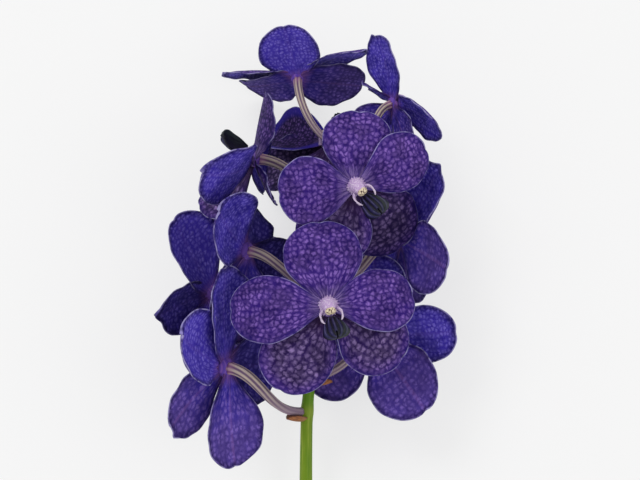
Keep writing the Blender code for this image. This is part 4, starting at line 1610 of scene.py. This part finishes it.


# Blades that lie in shade get painted shade, a cupped one in its middle too, and lit backs get
# painted light.
BLOOMS = (
    Bloom(
        "bloom_01", -38.9, 23.6, 19, facing=-125, tilt=5, size=1.1, foot=0,
        dorsal=dict(clock=11, lean=5, claw=1.4, length=44.5, width=36.5, twist=-13, bend=14),
        petal_right=dict(
            clock=69, lean=5, claw=0.9, length=44.5, width=34.5, twist=-11, bend=33, arch=52,
            painted_light=0.7,
        ),
        petal_left=dict(clock=-92, lean=4, length=33, dark=0.7),
        lateral_right=dict(
            clock=126, lean=20, claw=1.6, length=38, width=31, twist=8, bend=30, arch=17,
            notch=-2.2, notch_at=0.8,
        ),
        lateral_left=dict(clock=-177, lean=-2, claw=1.6, length=43, bend=10, arch=21),
    ),
    Bloom(
        "bloom_02", 32.3, 35.6, -10, facing=160, tilt=0, size=0.98, foot=17,
        dorsal=dict(lean=9, bend=10),
        petal_left=dict(clock=-85, length=45, width=30.5, arch=34),
        lateral_right=dict(
            clock=127, lean=-3, claw=1.6, length=41.5, width=37, bend=25, arch=29, dark=0.3,
        ),
        lateral_left=dict(clock=-138, lean=-9, length=48, width=40, twist=2, bend=10, arch=38),
    ),
    Bloom(
        "bloom_03", 9.6, 53.6, 46.5, facing=3, tilt=3, size=1.02, foot=26, lip_clock=166,
        dorsal=dict(clock=-5, lean=-1, claw=1.3, length=39.5, width=37.5, bend=21, arch=32),
        petal_right=dict(
            clock=79, lean=5, claw=1.3, length=41, width=30.5, twist=13, bend=36, arch=30,
        ),
        petal_left=dict(
            clock=-91, lean=5, claw=1.4, length=45.5, width=31.5, twist=-5, bend=35, arch=28,
        ),
        lateral_right=dict(clock=123, claw=1.6, length=44, width=35.5, twist=6, arch=38),
        lateral_left=dict(
            clock=-152, lean=-9, claw=1.4, length=45.5, width=37, twist=9, bend=15, arch=37,
        ),
    ),
    Bloom(
        "bloom_04", -48, 57, -18, facing=-140, tilt=5, roll=20, size=1.08, foot=36,
        dorsal=dict(clock=19, lean=-3, length=44.5, width=36, twist=-14, bend=7, arch=54, painted_light=0.9),
        petal_right=dict(
            clock=80, lean=0, length=34.5, width=28, twist=18, bend=28, arch=41, notch=-3, dark=0.5,
        ),
        lateral_right=dict(clock=146, length=42),
    ),
    Bloom(
        "bloom_05", -29.4, 78.3, 10, facing=-125, tilt=5, roll=-20, foot=60, lip_clock=240,
        dorsal=dict(
            clock=-11, lean=23, length=28.5, width=32.5, twist=-3, bend=6, arch=38, dark=0.6,
        ),
        petal_right=dict(clock=82, lean=-7, claw=1, width=39, twist=6, bend=21, arch=51),
        petal_left=dict(clock=-92, dark=0.8),
        lateral_right=dict(clock=190, lean=19, length=44),
        lateral_left=dict(clock=-155, lean=15, twist=-15),
    ),
    Bloom(
        "bloom_06", 45, 84.6, -14, facing=125, tilt=5, roll=33, size=1.05, foot=62,
        dorsal=dict(length=35),
        petal_left=dict(
            clock=-77, lean=14, claw=1.3, length=45.5, width=35.5, twist=-3, bend=30, arch=68,
            notch=-2,
        ),
        lateral_right=dict(lean=25, length=33, width=34),
        lateral_left=dict(
            clock=-141, lean=4, claw=1.6, length=45.5, width=35.5, twist=3, bend=22, arch=38,
        ),
    ),
    Bloom(
        "bloom_07", 22.4, 108.2, 34, facing=10, tilt=-8, foot=80, lip_clock=140,
        dorsal=dict(clock=3, length=35.5, width=34.5, twist=5, bend=20, arch=32),
        petal_right=dict(
            clock=64, lean=6, claw=1.5, length=39.5, width=29, twist=-5, bend=31, arch=31,
        ),
        petal_left=dict(clock=-96, lean=8, claw=1.4, length=36.5, width=32.5, bend=19, arch=18),
        lateral_right=dict(
            clock=138, lean=-15, level=-1.2, claw=1.6, length=46.5, width=38.5, twist=-2, arch=32,
            dark=0.6,
        ),
        lateral_left=dict(clock=-160, lean=-6, level=-0.6, length=40),
    ),
    Bloom(
        "bloom_08", 9.8, 132.7, -25, facing=-50, tilt=45, size=0.9, foot=98, lip_clock=85, nod=-20,
        dorsal=dict(length=36),
        petal_right=dict(clock=60, lean=-10, length=38, twist=-30),
        petal_left=dict(lean=9, length=49, width=37, twist=7, bend=0, arch=-63, dark=0.6, cup_shade=1),
        lateral_right=dict(clock=165, lean=0, twist=30),
        lateral_left=dict(
            clock=-121, lean=-3, length=47.5, width=40, twist=17, bend=-8, arch=-22, dark=0.8,
        ),
    ),
    Bloom(
        "bloom_09", -26.1, 122.4, 12, facing=-78, tilt=3, foot=104, lip_clock=50,
        dorsal=dict(
            clock=15, lean=-1, claw=0.7, length=32.5, width=40.5, twist=2, bend=9, notch=2.5,
            dark=0.6,
        ),
        petal_right=dict(
            clock=115, lean=17, level=0.3, claw=1.6, length=50, width=34.5, twist=22, bend=-40,
            arch=15,
        ),
        petal_left=dict(lean=-8, length=40, dark=0.4),
        lateral_right=dict(clock=140, lean=-5, length=30, width=20, twist=-25, dark=0.4),
        lateral_left=dict(clock=-143, lean=30, length=38.5, bend=-20, dark=0.4),
    ),
    Bloom(
        "bloom_10", 41.8, 149.7, 0, facing=119, tilt=14, size=0.82, foot=120, nod=18,
        dorsal=dict(
            clock=-5, lean=4, length=41.5, width=38.5, twist=5, bend=15, arch=20, notch=-3,
            notch_at=0.8,
        ),
        petal_right=dict(
            clock=53, lean=-1, claw=2, length=25, width=29.5, twist=49, bend=17, arch=13,
        ),
        petal_left=dict(
            clock=-107, lean=8, claw=0.9, length=46.5, width=31.5, twist=-26, bend=22, arch=33,
        ),
        lateral_right=dict(clock=130, length=36, dark=0.3),
        lateral_left=dict(clock=-153, lean=0, length=40, dark=0.35),
    ),
    Bloom(
        "bloom_11", -5.5, 166.5, -32, facing=180, tilt=42, size=0.82, foot=130,
        dorsal=dict(clock=11, lean=-3, claw=0.9, width=40.5, twist=2, bend=5, arch=40, painted_light=0.5),
        petal_right=dict(
            clock=76, lean=5, claw=2, width=33, twist=47, arch=20, notch=-1.5, dark=0.2,
        ),
        petal_left=dict(
            clock=-49, claw=1.6, length=50, width=29, twist=-42, bend=39, arch=19, notch=-4,
            notch_at=0.8,
        ),
        lateral_right=dict(
            clock=116, lean=12, claw=0.7, length=38.5, width=42, twist=28, bend=-13, dark=0.5,
        ),
        lateral_left=dict(
            clock=-105, lean=12, claw=0.7, length=43.5, width=42, twist=-14, bend=0, arch=12,
            dark=0.6,
        ),
    ),
)

STALK = FlowerStalk()
HUB = Hub()


@dataclass(frozen=True)
class Spray:
    """The whole cut spray."""

    column: Column = Column()
    lip: Lip = Lip()
    stalklet: Stalklet = Stalklet()
    bract: Bract = Bract()

    def build_stalk(self) -> None:
        """Builds the stalk and its bracts."""
        lying = STALK.lying()
        STALK.stalk([bloom.foot for bloom in BLOOMS]).build(StalkFinish().make(), lying)
        bracts = Piece("bracts_fine", "stalk", "flower_stalk")
        for number, bloom in enumerate(BLOOMS):
            foot = bloom.foot * MM
            out = bloom.away_from_stalk()
            surface = STALK.point(foot) + out * STALK.radius(foot)
            self.bract.add_to(bracts, surface, out, float(number))
        bracts.build(BractFinish().make(), lying)

    def build_blooms(self) -> None:
        """Builds the tepals, column, lip and stalklet of every bloom."""
        tepal = TepalFinish().make()
        column = ColumnFinish().make()
        lip = LipFinish().make()
        stalklet = StalkletFinish().make()
        for number, bloom in enumerate(BLOOMS, 1):
            bloom.tepals(number).build(tepal, bloom.to_world)
            self.column.piece(bloom).build(column, bloom.to_world)
            self.lip.piece(bloom).build(lip, bloom.to_world)
            self.stalklet.piece(bloom).build(stalklet, bloom.to_world)


# The studio


@dataclass(frozen=True)
class AreaLight:
    """A soft square light that points at the spray."""

    name: str
    place: tuple[float, float, float]
    side: float
    watts: float

    def build(self) -> None:
        """Adds the light."""
        lamp = bpy.data.lights.new(self.name, "AREA")
        lamp.size = self.side
        lamp.energy = self.watts
        made = bpy.data.objects.new(self.name, lamp)
        made.location = self.place
        made.rotation_mode = "QUATERNION"
        made.rotation_quaternion = (-Vector(self.place)).to_track_quat("-Z", "Y")
        bpy.context.scene.collection.objects.link(made)


@dataclass(frozen=True)
class Studio:
    """The floor, the lights and the camera that looks down on the spray."""

    pixel: float = 0.486 * MM  # one pixel of the picture at the stalk
    focal_pixels: float = 1300.0
    picture_width: float = 640.0
    picture_height: float = 480.0
    origin_pixel: tuple[float, float] = (308.0, 412.0)  # where the plant frame's origin shows
    floor_side: float = 6.0
    sky: float = 0.72
    lights: tuple[AreaLight, ...] = (
        AreaLight("key light", (-1.5, 1.8, 3.2), 1.5, 46.0),
        AreaLight("fill light", (2.4, -0.8, 3.0), 2.0, 16.0),
    )

    def build(self) -> None:
        """Builds the whole studio."""
        self.build_floor()
        self.build_sky()
        for light in self.lights:
            light.build()
        self.build_camera()
        bpy.context.scene.view_settings.view_transform = "Standard"

    def build_floor(self) -> None:
        """Makes the floor, which isn't part of the object."""
        half = self.floor_side / 2
        corners = [(-half, -half, 0), (half, -half, 0), (half, half, 0), (-half, half, 0)]
        mesh = bpy.data.meshes.new("floor")
        mesh.from_pydata(corners, [], [(0, 1, 2, 3)])
        mesh.materials.append(FloorFinish().make())
        floor = bpy.data.objects.new("floor", mesh)
        bpy.context.scene.collection.objects.link(floor)

    def build_sky(self) -> None:
        """Surrounds the spray with even white light."""
        world = bpy.data.worlds.new("studio")
        world.use_nodes = True
        background = world.node_tree.nodes["Background"]
        background.inputs["Color"].default_value = (1.0, 1.0, 1.0, 1.0)
        background.inputs["Strength"].default_value = self.sky
        bpy.context.scene.world = world

    def build_camera(self) -> None:
        """Puts the camera square over the plant frame, as in the photograph."""
        data = bpy.data.cameras.new("camera")
        data.sensor_width = 36.0
        data.lens = self.focal_pixels / self.picture_width * data.sensor_width
        data.clip_start = 0.01
        data.clip_end = 20.0
        x = (self.picture_width / 2 - self.origin_pixel[0]) * self.pixel
        y = (self.origin_pixel[1] - self.picture_height / 2) * self.pixel
        above = Matrix.Translation((x, y, self.focal_pixels * self.pixel))
        camera = bpy.data.objects.new("camera", data)
        camera.matrix_world = Matrix(STALK.lying()) @ above
        bpy.context.scene.collection.objects.link(camera)
        bpy.context.scene.camera = camera


def main() -> None:
    """Builds the studio and the spray."""
    logging.basicConfig(level=logging.INFO, format="%(message)s")
    Studio().build()
    spray = Spray()
    spray.build_stalk()
    spray.build_blooms()


if __name__ == "__main__":
    main()
